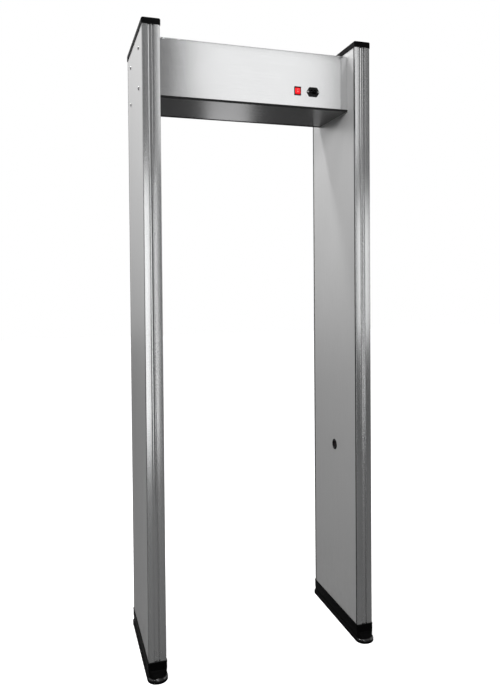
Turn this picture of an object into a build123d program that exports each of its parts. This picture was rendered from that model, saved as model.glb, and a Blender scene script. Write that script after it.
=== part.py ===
"""Walk-through detector arch: two hollow side panels joined by a header box.

Units are millimetres. The origin is on the floor at the middle of the footprint, +Z is up,
+X runs across the passage and -Y is the side with the mains inlet and the power switch.
"""

import os
from math import cos, radians, sin

from build123d import *

os.makedirs("parts", exist_ok=True)

# ---------------------------------------------------------------- driving sizes
overall_height = 2200.0
frame_width = 826.0
panel_depth = 400.0
panel_thickness = 59.0

header_bottom = 1960.0
header_top = 2163.0
header_near = -136.5
header_far = 128.5

skin_thickness = 3.0
rail_depth = 36.0
rail_lip = 4.0
seal_width = 8.0

cap_height = 21.0
cap_roof = 4.0
boot_height = 61.0
boot_floor = 8.0
socket_wall = 2.5
flange_overhang = 5.0
flange_nose = 26.5
flange_corner = 33.0
flange_edge = 14.0
flange_slope_top = 34.0

sheet = 2.0
bracket_plate = 4.0
trim_height = 7.0
trim_foot = 6.5
trim_wall = 2.0
underside_rise = 1.5
bracket_rise = 3.5

# running and fitting clearances
hole_clearance = 0.1
slip_clearance = 0.02
screw_sink = 0.3
seal_recess = 0.4

# how far the middle of a quarter arc lies in from its corner, for a radius of one
arc_share = 1 - 0.5**0.5

# ---------------------------------------------------------------- worked-out sizes
half_thickness = panel_thickness / 2
half_depth = panel_depth / 2
panel_centre = frame_width / 2 - half_thickness
passage_half = frame_width / 2 - panel_thickness
rail_bottom = boot_floor
rail_top = overall_height - cap_roof
rail_length = rail_top - rail_bottom
skin_width = panel_depth - 2 * (rail_lip + seal_width)
header_middle_y = (header_near + header_far) / 2
header_middle_z = (header_bottom + header_top) / 2
header_length = 2 * passage_half
sides = {"left": -1, "right": 1}

# screw port in each rail, measured in from the rail's outer face
port_back = 5.5
port_inset = rail_depth - port_back
port_radius = 2.15
port_y = half_depth - port_inset
screw_radius = 2.1

# bolts that hold the header between the panels
bolt_pitch_y = 216.0
bolt_pitch_z = 136.0
bolt_centre_z = 2058.0
bolt_radius = 4.0
bolt_hole_radius = 4.5
bolt_places = [
    (header_middle_y + side_y * bolt_pitch_y / 2, bolt_centre_z + side_z * bolt_pitch_z / 2)
    for side_y in (-1, 1)
    for side_z in (-1, 1)
]

# infrared counter windows in the two inner skins
sensor_y = -6.0
sensor_z = 687.0
sensor_hole_radius = 17.0

# cable pass between each panel and the header
cable_pass_radius = 12.0

# power switch and mains inlet on the near face
switch_x = 156.0
inlet_x = 216.0
inlet_screw_pitch = 40.0
power_z = 2021.0

# control panel and sounder on the far face, placed from the header's middle
control_width = 230.0
control_height = 96.0
display_u = -42.0
display_w = 7.0
sounder_x = 240.0
sounder_hole_radius = 20.0
ribbon_cut = (60.0, 24.0)

near_face = Plane(origin=(0, header_near, 0), x_dir=(1, 0, 0), z_dir=(0, -1, 0))
switch_face = Plane(origin=(switch_x, header_near, power_z), x_dir=(1, 0, 0), z_dir=(0, -1, 0))
inlet_face = Plane(origin=(inlet_x, header_near, power_z), x_dir=(1, 0, 0), z_dir=(0, -1, 0))
far_face = Plane(origin=(0, header_far, 0), x_dir=(-1, 0, 0), z_dir=(0, 1, 0))
control_face = Plane(origin=(0, header_far, header_middle_z), x_dir=(-1, 0, 0), z_dir=(0, 1, 0))


def save(part, name):
    """Label a finished piece and write it as parts/<name>.step."""
    part.label = name
    export_step(part, f"parts/{name}.step")


# ---------------------------------------------------------------- side panels
face_corner = 1.5
band_start = -11.5
bead_start = -2.0
bead_end = 5.5
groove_end = 8.8
band_drop = 1.8
band_hollow = 1.0
groove_depth = 4.5
rail_wall = 2.2
face_wall = 7.2
port_boss_radius = 4.8


def make_rail(centre_x, facing):
    """Hollow edge extrusion with a flat, a hollow band, a round bead and a groove on its face."""
    section_plane = Plane(
        origin=(centre_x, facing * half_depth, rail_bottom), x_dir=(-facing, 0, 0), z_dir=(0, 0, 1)
    )
    neck = half_thickness - skin_thickness
    arc_inset = face_corner * arc_share
    with BuildPart() as rail:
        with BuildSketch(section_plane):
            with BuildLine():
                Line((-half_thickness, rail_lip), (-half_thickness, face_corner))
                ThreePointArc(
                    (-half_thickness, face_corner),
                    (-half_thickness + arc_inset, arc_inset),
                    (-half_thickness + face_corner, 0),
                )
                Polyline((-half_thickness + face_corner, 0), (band_start, 0), (band_start, band_drop))
                ThreePointArc(
                    (band_start, band_drop),
                    ((band_start + bead_start) / 2, band_drop + band_hollow),
                    (bead_start, band_drop),
                )
                ThreePointArc(
                    (bead_start, band_drop), ((bead_start + bead_end) / 2, 0), (bead_end, band_drop)
                )
                Polyline(
                    (bead_end, band_drop),
                    (bead_end, groove_depth),
                    (groove_end, groove_depth),
                    (groove_end, 0),
                    (half_thickness - face_corner, 0),
                )
                ThreePointArc(
                    (half_thickness - face_corner, 0),
                    (half_thickness - arc_inset, arc_inset),
                    (half_thickness, face_corner),
                )
                Polyline(
                    (half_thickness, face_corner),
                    (half_thickness, rail_lip),
                    (neck, rail_lip),
                    (neck, rail_depth),
                    (-neck, rail_depth),
                    (-neck, rail_lip),
                    (-half_thickness, rail_lip),
                )
            make_face()
            with Locations((0, (face_wall + rail_depth - rail_wall) / 2)):
                Rectangle(
                    2 * (neck - rail_wall), rail_depth - rail_wall - face_wall, mode=Mode.SUBTRACT
                )
            with Locations((0, port_inset)):
                Circle(port_boss_radius)
                Circle(port_radius, mode=Mode.SUBTRACT)
        extrude(amount=rail_length)
    return rail.part


def make_skin(side, is_inner):
    """Flat facing sheet, drilled for the header bolts, and for cable and sensor if it is inner."""
    outer_face = side * frame_width / 2
    start_x = side * (passage_half + skin_thickness) if is_inner else outer_face
    with BuildPart() as skin:
        with BuildSketch(Plane.YZ.offset(start_x)):
            with Locations((0, (rail_bottom + rail_top) / 2)):
                Rectangle(skin_width, rail_length)
            with Locations(*bolt_places):
                Circle(bolt_hole_radius, mode=Mode.SUBTRACT)
            if is_inner:
                with Locations((header_middle_y, header_middle_z)):
                    Circle(cable_pass_radius, mode=Mode.SUBTRACT)
                with Locations((sensor_y, sensor_z)):
                    Circle(sensor_hole_radius, mode=Mode.SUBTRACT)
        extrude(amount=-side * skin_thickness)
    return skin.part


def make_seal_strips(centre_x):
    """Four black strips that fill the seams between the skins and the rails of one panel."""
    strip_thickness = skin_thickness - seal_recess
    strip_x = half_thickness - skin_thickness + strip_thickness / 2
    strip_y = half_depth - rail_lip - seal_width / 2
    with BuildPart() as strips:
        with BuildSketch(Plane.XY.offset(rail_bottom)):
            with Locations((centre_x, 0)):
                with GridLocations(2 * strip_x, 2 * strip_y, 2, 2):
                    Rectangle(strip_thickness, seal_width)
        extrude(amount=rail_length)
    return strips.part


socket_corner = 7.0
cap_top_round = 4.0
countersink_radius = 4.6
clearance_radius = 2.7


def make_top_cap(centre_x):
    """Moulded cap: a shallow socket over the panel's top end, screwed down into the rails."""
    with BuildPart() as cap:
        with BuildSketch(Plane.XY.offset(overall_height - cap_height)):
            with Locations((centre_x, 0)):
                RectangleRounded(
                    panel_thickness + 2 * socket_wall, panel_depth + 2 * socket_wall, socket_corner
                )
        extrude(amount=cap_height)
        fillet(cap.edges().group_by(Axis.Z)[-1], radius=cap_top_round)
        with BuildSketch(Plane.XY.offset(overall_height - cap_height)):
            with Locations((centre_x, 0)):
                Rectangle(panel_thickness, panel_depth)
        extrude(amount=cap_height - cap_roof, mode=Mode.SUBTRACT)
        with Locations((centre_x, -port_y, overall_height), (centre_x, port_y, overall_height)):
            CounterSinkHole(radius=clearance_radius, counter_sink_radius=countersink_radius)
    return cap.part


boot_lip_height = 5.0
boot_lip_proud = 0.5
boot_corner = 6.0
flange_round = 2.0


def make_foot_boot(centre_x):
    """Moulded foot: a socket for the panel that flares out to a flange with rounded ends."""
    wall_width = panel_thickness + 2 * socket_wall
    wall_depth = panel_depth + 2 * socket_wall
    flange_width = panel_thickness + 2 * flange_overhang
    flange_depth = panel_depth + 2 * flange_nose
    with BuildPart() as boot:
        with BuildSketch():
            with Locations((centre_x, 0)):
                RectangleRounded(flange_width, flange_depth, flange_corner)
        extrude(amount=flange_edge)
        fillet(boot.edges().group_by(Axis.Z)[-1], radius=flange_round)
        with BuildSketch(Plane.XY.offset(flange_edge)):
            with Locations((centre_x, 0)):
                RectangleRounded(
                    flange_width - 2 * flange_round,
                    flange_depth - 2 * flange_round,
                    flange_corner - flange_round,
                )
        with BuildSketch(Plane.XY.offset(flange_slope_top)):
            with Locations((centre_x, 0)):
                RectangleRounded(wall_width, wall_depth, boot_corner)
        loft()
        with BuildSketch(Plane.XY.offset(flange_slope_top)):
            with Locations((centre_x, 0)):
                RectangleRounded(wall_width, wall_depth, boot_corner)
        extrude(amount=boot_height - flange_slope_top)
        with BuildSketch(Plane.XY.offset(boot_height - boot_lip_height)):
            with Locations((centre_x, 0)):
                RectangleRounded(
                    wall_width + 2 * boot_lip_proud,
                    wall_depth + 2 * boot_lip_proud,
                    boot_corner + boot_lip_proud,
                )
        extrude(amount=boot_lip_height)
        with BuildSketch(Plane.XY.offset(boot_floor)):
            with Locations((centre_x, 0)):
                Rectangle(panel_thickness, panel_depth)
        extrude(amount=boot_height - boot_floor, mode=Mode.SUBTRACT)
        underside = Plane.XY.rotated((180, 0, 0))
        with Locations(underside):
            with Locations((centre_x, -port_y), (centre_x, port_y)):
                CounterSinkHole(
                    radius=clearance_radius, counter_sink_radius=countersink_radius, depth=boot_floor
                )
    return boot.part


screw_length = 24.0
screw_head_radius = 4.3
screw_head_height = 2.2
recess_width = 1.0
recess_length = 4.2
recess_depth = 1.2


def make_countersunk_screws(places, head_plane_z, direction):
    """Countersunk screws along Z with a crossed recess; direction +1 points the shank up."""
    head_plane = Plane(origin=(0, 0, head_plane_z), x_dir=(1, 0, 0), z_dir=(0, 0, direction))
    with BuildPart() as screws:
        with BuildSketch(head_plane):
            with Locations(*[(x, direction * y) for x, y in places]):
                Circle(screw_radius)
        extrude(amount=screw_length)
        with Locations(head_plane):
            with Locations(*[(x, direction * y, screw_head_height / 2) for x, y in places]):
                Cone(screw_head_radius, screw_radius, screw_head_height)
        with BuildSketch(head_plane):
            with Locations(*[(x, direction * y) for x, y in places]):
                Rectangle(recess_length, recess_width)
                Rectangle(recess_width, recess_length)
        extrude(amount=recess_depth, mode=Mode.SUBTRACT)
    return screws.part


for side_name, side in sides.items():
    centre_x = side * panel_centre
    save(make_rail(centre_x, -1), f"{side_name}_near_rail")
    save(make_rail(centre_x, 1), f"{side_name}_far_rail")
    save(make_skin(side, is_inner=False), f"{side_name}_outer_skin")
    save(make_skin(side, is_inner=True), f"{side_name}_inner_skin")
    save(make_seal_strips(centre_x), f"{side_name}_seal_strips")
    save(make_top_cap(centre_x), f"{side_name}_top_cap")
    save(make_foot_boot(centre_x), f"{side_name}_foot_boot")

port_places = [(side * panel_centre, end * port_y) for side in (-1, 1) for end in (-1, 1)]
save(make_countersunk_screws(port_places, overall_height - screw_sink, -1), "cap_screws")
save(make_countersunk_screws(port_places, screw_sink, 1), "boot_screws")

# ---------------------------------------------------------------- inside the side panels
board_thickness = 6.0
board_width = 320.0
board_bottom = 70.0
board_top = 1900.0
coil_width = 300.0
coil_bottom = 90.0
coil_top = 1850.0
coil_band = 12.0
coil_thickness = 8.0
coil_corner = 40.0
coil_gap = 10.0
lead_radius = 3.0
lead_bend = 4.0
connector_back = passage_half + 9.0
connector_front = passage_half - 18.0
connector_radius = 11.5
connector_flange_radius = 16.0
connector_flange = 3.0
batten_height = 30.0
batten_levels = [150.0, 560.0, 970.0, 1380.0, 1790.0]
outer_batten_width = 300.0
inner_batten_width = 240.0


def make_coil_board(side):
    """Stiff board in the middle of a panel that carries the coil winding."""
    with BuildPart() as board:
        with BuildSketch(Plane.YZ.offset(side * panel_centre - board_thickness / 2)):
            with Locations((0, (board_bottom + board_top) / 2)):
                Rectangle(board_width, board_top - board_bottom)
        extrude(amount=board_thickness)
    return board.part


def make_coils(side, count):
    """Flat loops stacked up one face of a coil board, with one lead up to the header."""
    face_x = side * (panel_centre - board_thickness / 2)
    middle_x = face_x - side * coil_thickness / 2
    loop_height = (coil_top - coil_bottom - (count - 1) * coil_gap) / count
    centres = [
        (0, coil_bottom + loop_height / 2 + level * (loop_height + coil_gap)) for level in range(count)
    ]
    with BuildPart() as coils:
        with BuildSketch(Plane.YZ.offset(face_x)):
            with Locations(*centres):
                RectangleRounded(coil_width, loop_height, coil_corner)
                RectangleRounded(
                    coil_width - 2 * coil_band,
                    loop_height - 2 * coil_band,
                    coil_corner - coil_band,
                    mode=Mode.SUBTRACT,
                )
        extrude(amount=-side * coil_thickness)
        with BuildLine() as lead_path:
            FilletPolyline(
                (middle_x, header_middle_y, coil_top),
                (middle_x, header_middle_y, header_middle_z),
                (side * connector_back, header_middle_y, header_middle_z),
                radius=lead_bend,
            )
        with BuildSketch(Plane(origin=(middle_x, header_middle_y, coil_top))):
            Circle(lead_radius)
        sweep(path=lead_path.line)
    return coils.part


def make_battens(side):
    """Cross battens on both faces of the coil board that hold the two skins apart."""
    gap = half_thickness - skin_thickness - board_thickness / 2
    offset_x = board_thickness / 2 + gap / 2
    with BuildPart() as battens:
        for level in batten_levels:
            with Locations((side * (panel_centre + offset_x), 0, level)):
                Box(gap, outer_batten_width, batten_height)
            with Locations((side * (panel_centre - offset_x), 0, level)):
                Box(gap, inner_batten_width, batten_height)
    return battens.part


for side_name, side in sides.items():
    save(make_coil_board(side), f"{side_name}_coil_board")
    save(make_battens(side), f"{side_name}_battens")
save(make_coils(-1, 1), "transmit_coil")
save(make_coils(1, 3), "receive_coils")


def make_coil_connectors():
    """Round plug connectors that pass the coil leads from the panels into the header."""
    with BuildPart() as connectors:
        for side in sides.values():
            with BuildSketch(Plane.YZ.offset(side * connector_back)):
                with Locations((header_middle_y, header_middle_z)):
                    Circle(connector_radius)
            extrude(amount=-side * (connector_back - connector_front))
            with BuildSketch(Plane.YZ.offset(side * (passage_half - bracket_plate))):
                with Locations((header_middle_y, header_middle_z)):
                    Circle(connector_flange_radius)
            extrude(amount=-side * connector_flange)
    return connectors.part


save(make_coil_connectors(), "coil_connectors")

sensor_flange_radius = 20.0
sensor_barrel_radius = 16.8
sensor_flange = 2.0
sensor_round = 1.2
sensor_depth = 13.0
lens_radius = 13.0
lens_seat = 5.0
lens_thickness = 5.0
lens_crown = 3.0


def make_sensor_bezel(side):
    """Round bezel of an infrared counter window, its barrel pushed through the inner skin."""
    with BuildPart() as bezel:
        with BuildSketch(Plane.YZ.offset(side * passage_half)):
            with Locations((sensor_y, sensor_z)):
                Circle(sensor_flange_radius)
        extrude(amount=-side * sensor_flange)
        fillet(bezel.edges().group_by(Axis.X)[0 if side > 0 else -1], radius=sensor_round)
        with BuildSketch(Plane.YZ.offset(side * passage_half)):
            with Locations((sensor_y, sensor_z)):
                Circle(sensor_barrel_radius)
        extrude(amount=side * sensor_depth)
        with BuildSketch(Plane.YZ.offset(side * (passage_half - sensor_flange))):
            with Locations((sensor_y, sensor_z)):
                Circle(lens_radius)
        extrude(amount=side * (sensor_flange + lens_seat), mode=Mode.SUBTRACT)
    return bezel.part


def make_sensor_lens(side):
    """Smoked lens with a rounded crown, set at the bottom of the bezel's seat."""
    with BuildPart() as lens:
        with BuildSketch(Plane.YZ.offset(side * (passage_half + lens_seat))):
            with Locations((sensor_y, sensor_z)):
                Circle(lens_radius)
        extrude(amount=-side * lens_thickness)
        fillet(lens.edges().group_by(Axis.X)[0 if side > 0 else -1], radius=lens_crown)
    return lens.part


for sensor_name, side in {"emitter": -1, "receiver": 1}.items():
    save(make_sensor_bezel(side), f"{sensor_name}_bezel")
    save(make_sensor_lens(side), f"{sensor_name}_lens")

# ---------------------------------------------------------------- header fixings
bolt_head_radius = 6.5
bolt_head_height = 3.2
bolt_crown = 2.6
bolt_grip = panel_thickness + bracket_plate
nut_height = 6.5
bolt_tail = 9.0
nut_radius = 7.5
sleeve_radius = 7.0
hex_recess_radius = 2.9
hex_recess_depth = 2.0


def make_header_bolts():
    """Button-head bolts through both panels into the header, four on each side."""
    with BuildPart() as bolts:
        for side in sides.values():
            outer = Plane.YZ.offset(side * frame_width / 2)
            head_top = Plane.YZ.offset(side * (frame_width / 2 + bolt_head_height))
            with BuildSketch(outer):
                with Locations(*bolt_places):
                    Circle(bolt_head_radius)
            extrude(amount=side * bolt_head_height)
            with BuildSketch(outer):
                with Locations(*bolt_places):
                    Circle(bolt_radius)
            extrude(amount=-side * (bolt_grip + bolt_tail))
            with BuildSketch(head_top):
                with Locations(*bolt_places):
                    RegularPolygon(hex_recess_radius, 6)
            extrude(amount=-side * hex_recess_depth, mode=Mode.SUBTRACT)
        crowns = bolts.edges().filter_by(GeomType.CIRCLE).group_by(Axis.X)
        fillet(crowns[0] + crowns[-1], radius=bolt_crown)
    return bolts.part


def make_bolt_sleeves():
    """Spacer tubes on the bolts, between the skins, so that the panels can't be crushed."""
    with BuildPart() as sleeves:
        for side in sides.values():
            with BuildSketch(Plane.YZ.offset(side * (frame_width / 2 - skin_thickness))):
                with Locations(*bolt_places):
                    Circle(sleeve_radius)
                    Circle(bolt_hole_radius, mode=Mode.SUBTRACT)
            extrude(amount=-side * (panel_thickness - 2 * skin_thickness))
    return sleeves.part


def make_header_nuts():
    """Hexagon nuts on the bolts, inside the header."""
    with BuildPart() as nuts:
        for side in sides.values():
            with BuildSketch(Plane.YZ.offset(side * (passage_half - bracket_plate))):
                with Locations(*bolt_places):
                    RegularPolygon(nut_radius, 6)
                    Circle(bolt_radius + slip_clearance, mode=Mode.SUBTRACT)
            extrude(amount=-side * nut_height)
    return nuts.part


save(make_header_bolts(), "header_bolts")
save(make_bolt_sleeves(), "bolt_sleeves")
save(make_header_nuts(), "header_nuts")

# ---------------------------------------------------------------- header casing
bracket_flange = 22.0
bracket_flange_thickness = 3.0
bracket_near = header_near + sheet
bracket_far = header_far - sheet
bracket_bottom = header_bottom + bracket_rise
bracket_top = header_top - sheet
cover_screw_y = 90.0
cover_screw_inset = 13.0
cover_screw_x = passage_half - cover_screw_inset
cover_places = [
    (side * cover_screw_x, header_middle_y + end * cover_screw_y) for side in (-1, 1) for end in (-1, 1)
]


def make_end_bracket(side):
    """C-shaped bracket that closes one end of the header and bolts to the panel."""
    middle = (bracket_near + bracket_far) / 2
    depth = bracket_far - bracket_near
    outer_x = side * passage_half
    flange_x = outer_x - side * bracket_flange / 2
    with BuildPart() as bracket:
        with BuildSketch(Plane.YZ.offset(outer_x)):
            with Locations((middle, (bracket_bottom + bracket_top) / 2)):
                Rectangle(depth, bracket_top - bracket_bottom)
            with Locations(*bolt_places):
                Circle(bolt_hole_radius, mode=Mode.SUBTRACT)
            with Locations((header_middle_y, header_middle_z)):
                Circle(cable_pass_radius, mode=Mode.SUBTRACT)
        extrude(amount=-side * bracket_plate)
        for level in (bracket_bottom, bracket_top - bracket_flange_thickness):
            with BuildSketch(Plane.XY.offset(level)):
                with Locations((flange_x, middle)):
                    Rectangle(bracket_flange, depth)
            extrude(amount=bracket_flange_thickness)
        with BuildSketch(Plane.XY.offset(bracket_top)):
            with Locations(*[place for place in cover_places if place[0] * side > 0]):
                Circle(port_radius)
        extrude(amount=-bracket_flange_thickness, mode=Mode.SUBTRACT)
    return bracket.part


switch_cut = (21.9, 27.4)
inlet_cut = (28.4, 20.4)
inlet_screw_radius = 1.6


def make_near_panel():
    """Brushed facing sheet with the cut-outs for the power switch and the mains inlet."""
    bottom = header_bottom + trim_height
    top = header_top - sheet
    with BuildPart() as panel:
        with BuildSketch(near_face):
            with Locations((0, (bottom + top) / 2)):
                Rectangle(header_length, top - bottom)
            with Locations((switch_x, power_z)):
                Rectangle(*switch_cut, mode=Mode.SUBTRACT)
            with Locations((inlet_x, power_z)):
                Rectangle(*inlet_cut, mode=Mode.SUBTRACT)
                with GridLocations(inlet_screw_pitch, 0, 2, 1):
                    Circle(inlet_screw_radius + hole_clearance, mode=Mode.SUBTRACT)
        extrude(amount=-sheet)
    return panel.part


def make_far_panel():
    """Facing sheet on the control side, cut for the sounder and the display's ribbon cable."""
    bottom = header_bottom + trim_height
    top = header_top - sheet
    with BuildPart() as panel:
        with BuildSketch(far_face):
            with Locations((0, (bottom + top) / 2)):
                Rectangle(header_length, top - bottom)
            with Locations((display_u, header_middle_z + display_w)):
                Rectangle(*ribbon_cut, mode=Mode.SUBTRACT)
            with Locations((-sounder_x, header_middle_z)):
                Circle(sounder_hole_radius, mode=Mode.SUBTRACT)
        extrude(amount=-sheet)
    return panel.part


def make_underside():
    """Bottom sheet of the header, seen from the passage, that the electronics stand on."""
    with BuildPart() as underside:
        with BuildSketch(Plane.XY.offset(header_bottom + underside_rise)):
            with Locations((0, header_middle_y)):
                Rectangle(header_length, header_far - header_near - 2 * trim_foot)
        extrude(amount=sheet)
    return underside.part


def make_top_cover():
    """Lid sheet over the header, screwed down onto the end brackets."""
    with BuildPart() as cover:
        with BuildSketch(Plane.XY.offset(header_top - sheet)):
            with Locations((0, header_middle_y)):
                Rectangle(header_length, header_far - header_near)
            with Locations(*cover_places):
                Circle(clearance_radius, mode=Mode.SUBTRACT)
        extrude(amount=sheet)
    return cover.part


def make_edge_trim(edge_y, facing):
    """Black angle strip along a bottom edge of the header; facing is its outward Y direction."""
    section_plane = Plane(
        origin=(-passage_half, edge_y, header_bottom), x_dir=(0, -facing, 0), z_dir=(-facing, 0, 0)
    )
    arc_inset = trim_wall * arc_share
    with BuildPart() as trim:
        with BuildSketch(section_plane):
            with BuildLine():
                Line((0, trim_height), (0, trim_wall))
                ThreePointArc((0, trim_wall), (arc_inset, arc_inset), (trim_wall, 0))
                Polyline(
                    (trim_wall, 0),
                    (trim_foot, 0),
                    (trim_foot, bracket_rise),
                    (trim_wall, bracket_rise),
                    (trim_wall, trim_height),
                    (0, trim_height),
                )
            make_face()
        extrude(amount=-facing * header_length)
    return trim.part


pan_head_radius = 4.5
pan_head_height = 2.4
pan_head_round = 1.4
cover_screw_length = 9.0


def make_cover_screws():
    """Pan-head screws that hold the top cover down."""
    with BuildPart() as screws:
        with BuildSketch(Plane.XY.offset(header_top)):
            with Locations(*cover_places):
                Circle(pan_head_radius)
        extrude(amount=pan_head_height)
        fillet(screws.edges().group_by(Axis.Z)[-1], radius=pan_head_round)
        with BuildSketch(Plane.XY.offset(header_top)):
            with Locations(*cover_places):
                Circle(screw_radius)
        extrude(amount=-cover_screw_length)
        with BuildSketch(Plane.XY.offset(header_top + pan_head_height)):
            with Locations(*cover_places):
                Rectangle(recess_length, recess_width)
                Rectangle(recess_width, recess_length)
        extrude(amount=-recess_depth, mode=Mode.SUBTRACT)
    return screws.part


# ---------------------------------------------------------------- power switch
switch_bezel = (26.0, 32.0)
switch_bezel_thickness = 2.2
switch_bezel_corner = 2.0
face_round = 0.8
switch_body = (21.5, 27.0)
switch_body_depth = 26.0
rocker_cavity = (19.1, 24.4)
rocker_cavity_depth = 15.0
rocker_width = 18.7
rocker_radius = 12.0
rocker_tilt = 9.0
rocker_pivot_depth = 5.0
valley_height = 6.8
crest_height = 9.2
rocker_back = 4.0
pin_radius = 1.5
pin_running_clearance = 0.06


def make_switch_housing():
    """Snap-in housing of the power switch: a bezel frame and a body behind the sheet."""
    with BuildPart() as housing:
        with BuildSketch(switch_face):
            RectangleRounded(*switch_bezel, switch_bezel_corner)
        extrude(amount=switch_bezel_thickness)
        fillet(housing.edges().group_by(Axis.Y)[0], radius=face_round)
        with BuildSketch(switch_face):
            Rectangle(*switch_body)
        extrude(amount=-switch_body_depth)
        with BuildSketch(switch_face.offset(switch_bezel_thickness)):
            Rectangle(*rocker_cavity)
        extrude(amount=-switch_bezel_thickness - rocker_cavity_depth, mode=Mode.SUBTRACT)
        with BuildSketch(Plane.YZ.offset(switch_x - switch_body[0] / 2)):
            with Locations((header_near + rocker_pivot_depth, power_z)):
                Circle(pin_radius + slip_clearance)
        extrude(amount=switch_body[0], mode=Mode.SUBTRACT)
    return housing.part


def make_rocker():
    """Red rocker: two faces that meet in a shallow valley, ends rounded about the pivot."""
    tilt = radians(rocker_tilt)
    pivot = Plane(
        origin=(switch_x - rocker_width / 2, header_near + rocker_pivot_depth, power_z),
        x_dir=(0, -cos(tilt), sin(tilt)),
        z_dir=(-1, 0, 0),
    )
    clear_of_circle = 1.5 * rocker_radius
    with BuildPart() as rocker:
        with BuildSketch(pivot):
            Circle(rocker_radius)
            with BuildLine():
                Polyline(
                    (valley_height, 0),
                    (crest_height, rocker_radius),
                    (clear_of_circle, rocker_radius),
                    (clear_of_circle, -rocker_radius),
                    (crest_height, -rocker_radius),
                    close=True,
                )
            make_face(mode=Mode.SUBTRACT)
            with Locations((-rocker_back - rocker_radius, 0)):
                Rectangle(2 * rocker_radius, 2 * clear_of_circle, mode=Mode.SUBTRACT)
            Circle(pin_radius + pin_running_clearance, mode=Mode.SUBTRACT)
        extrude(amount=-rocker_width)
    return rocker.part


def make_rocker_pin():
    """Steel pin that the rocker turns on, held in the housing's side walls."""
    with BuildPart() as pin:
        with BuildSketch(Plane.YZ.offset(switch_x - switch_body[0] / 2)):
            with Locations((header_near + rocker_pivot_depth, power_z)):
                Circle(pin_radius)
        extrude(amount=switch_body[0])
    return pin.part


terminal_size = (6.3, 0.8)
terminal_length = 9.0
terminal_pitch = (10.0, 14.0)


def make_switch_terminals():
    """Four flat tabs out of the back of the switch."""
    with BuildPart() as terminals:
        with BuildSketch(switch_face.offset(-switch_body_depth)):
            with GridLocations(*terminal_pitch, 2, 2):
                Rectangle(*terminal_size)
        extrude(amount=-terminal_length)
    return terminals.part


# ---------------------------------------------------------------- mains inlet
inlet_half_width = 25.0
inlet_half_height = 17.0
inlet_flat = 15.0
inlet_flange = 3.2
inlet_corner_round = 3.0
inlet_body = (28.0, 20.0)
inlet_body_depth = 22.0
socket_size = (24.4, 16.6)
socket_corner_cut = 4.5
socket_depth = 16.5
pin_size = (2.0, 4.0)
pin_places = [(-7.0, 1.4), (0.0, 4.6), (7.0, 1.4)]
pin_recess = 2.5
pin_tail = 8.0


def make_mains_inlet():
    """Three-pin mains inlet with a six-sided flange and a socket for a line connector."""
    half_width = socket_size[0] / 2
    half_height = socket_size[1] / 2
    with BuildPart() as inlet:
        with BuildSketch(inlet_face):
            with BuildLine():
                Polyline(
                    (-inlet_half_width, 0),
                    (-inlet_flat, inlet_half_height),
                    (inlet_flat, inlet_half_height),
                    (inlet_half_width, 0),
                    (inlet_flat, -inlet_half_height),
                    (-inlet_flat, -inlet_half_height),
                    close=True,
                )
            make_face()
        extrude(amount=inlet_flange)
        fillet(inlet.edges().filter_by(Axis.Y), radius=inlet_corner_round)
        fillet(inlet.edges().group_by(Axis.Y)[0], radius=face_round)
        with BuildSketch(inlet_face):
            Rectangle(*inlet_body)
        extrude(amount=-inlet_body_depth)
        with BuildSketch(inlet_face.offset(inlet_flange)):
            with BuildLine():
                Polyline(
                    (-half_width, -half_height),
                    (half_width, -half_height),
                    (half_width, half_height - socket_corner_cut),
                    (half_width - socket_corner_cut, half_height),
                    (-half_width + socket_corner_cut, half_height),
                    (-half_width, half_height - socket_corner_cut),
                    close=True,
                )
            make_face()
        extrude(amount=-socket_depth, mode=Mode.SUBTRACT)
        with BuildSketch(inlet_face):
            with Locations(*pin_places):
                Rectangle(*pin_size)
        extrude(amount=-inlet_body_depth, mode=Mode.SUBTRACT)
        with BuildSketch(inlet_face.offset(inlet_flange)):
            with GridLocations(inlet_screw_pitch, 0, 2, 1):
                Circle(inlet_screw_radius + hole_clearance)
        extrude(amount=-inlet_flange, mode=Mode.SUBTRACT)
    return inlet.part


def make_inlet_pins():
    """Three flat contact pins that stand in the socket and end in tabs behind it."""
    with BuildPart() as pins:
        with BuildSketch(inlet_face.offset(inlet_flange - pin_recess)):
            with Locations(*pin_places):
                Rectangle(*pin_size)
        extrude(amount=-(inlet_flange - pin_recess + inlet_body_depth + pin_tail))
    return pins.part


inlet_screw_head_radius = 3.0
inlet_screw_head_height = 1.8
inlet_screw_length = 14.0
inlet_screw_round = 1.0
inlet_recess = (3.4, 0.8)
inlet_recess_depth = 1.0
inlet_nut_radius = 3.2
inlet_nut_height = 2.6


def make_inlet_screws():
    """Two bright pan-head screws through the inlet's flange."""
    with BuildPart() as screws:
        with BuildSketch(inlet_face.offset(inlet_flange)):
            with GridLocations(inlet_screw_pitch, 0, 2, 1):
                Circle(inlet_screw_head_radius)
        extrude(amount=inlet_screw_head_height)
        fillet(screws.edges().group_by(Axis.Y)[0], radius=inlet_screw_round)
        with BuildSketch(inlet_face.offset(inlet_flange)):
            with GridLocations(inlet_screw_pitch, 0, 2, 1):
                Circle(inlet_screw_radius)
        extrude(amount=-inlet_screw_length)
        with BuildSketch(inlet_face.offset(inlet_flange + inlet_screw_head_height)):
            with GridLocations(inlet_screw_pitch, 0, 2, 1):
                Rectangle(*inlet_recess)
                Rectangle(*reversed(inlet_recess))
        extrude(amount=-inlet_recess_depth, mode=Mode.SUBTRACT)
    return screws.part


def make_inlet_nuts():
    """Two nuts on the inlet's screws, behind the sheet."""
    with BuildPart() as nuts:
        with BuildSketch(inlet_face.offset(-sheet)):
            with GridLocations(inlet_screw_pitch, 0, 2, 1):
                RegularPolygon(inlet_nut_radius, 6)
                Circle(inlet_screw_radius + slip_clearance, mode=Mode.SUBTRACT)
        extrude(amount=-inlet_nut_height)
    return nuts.part


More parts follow.
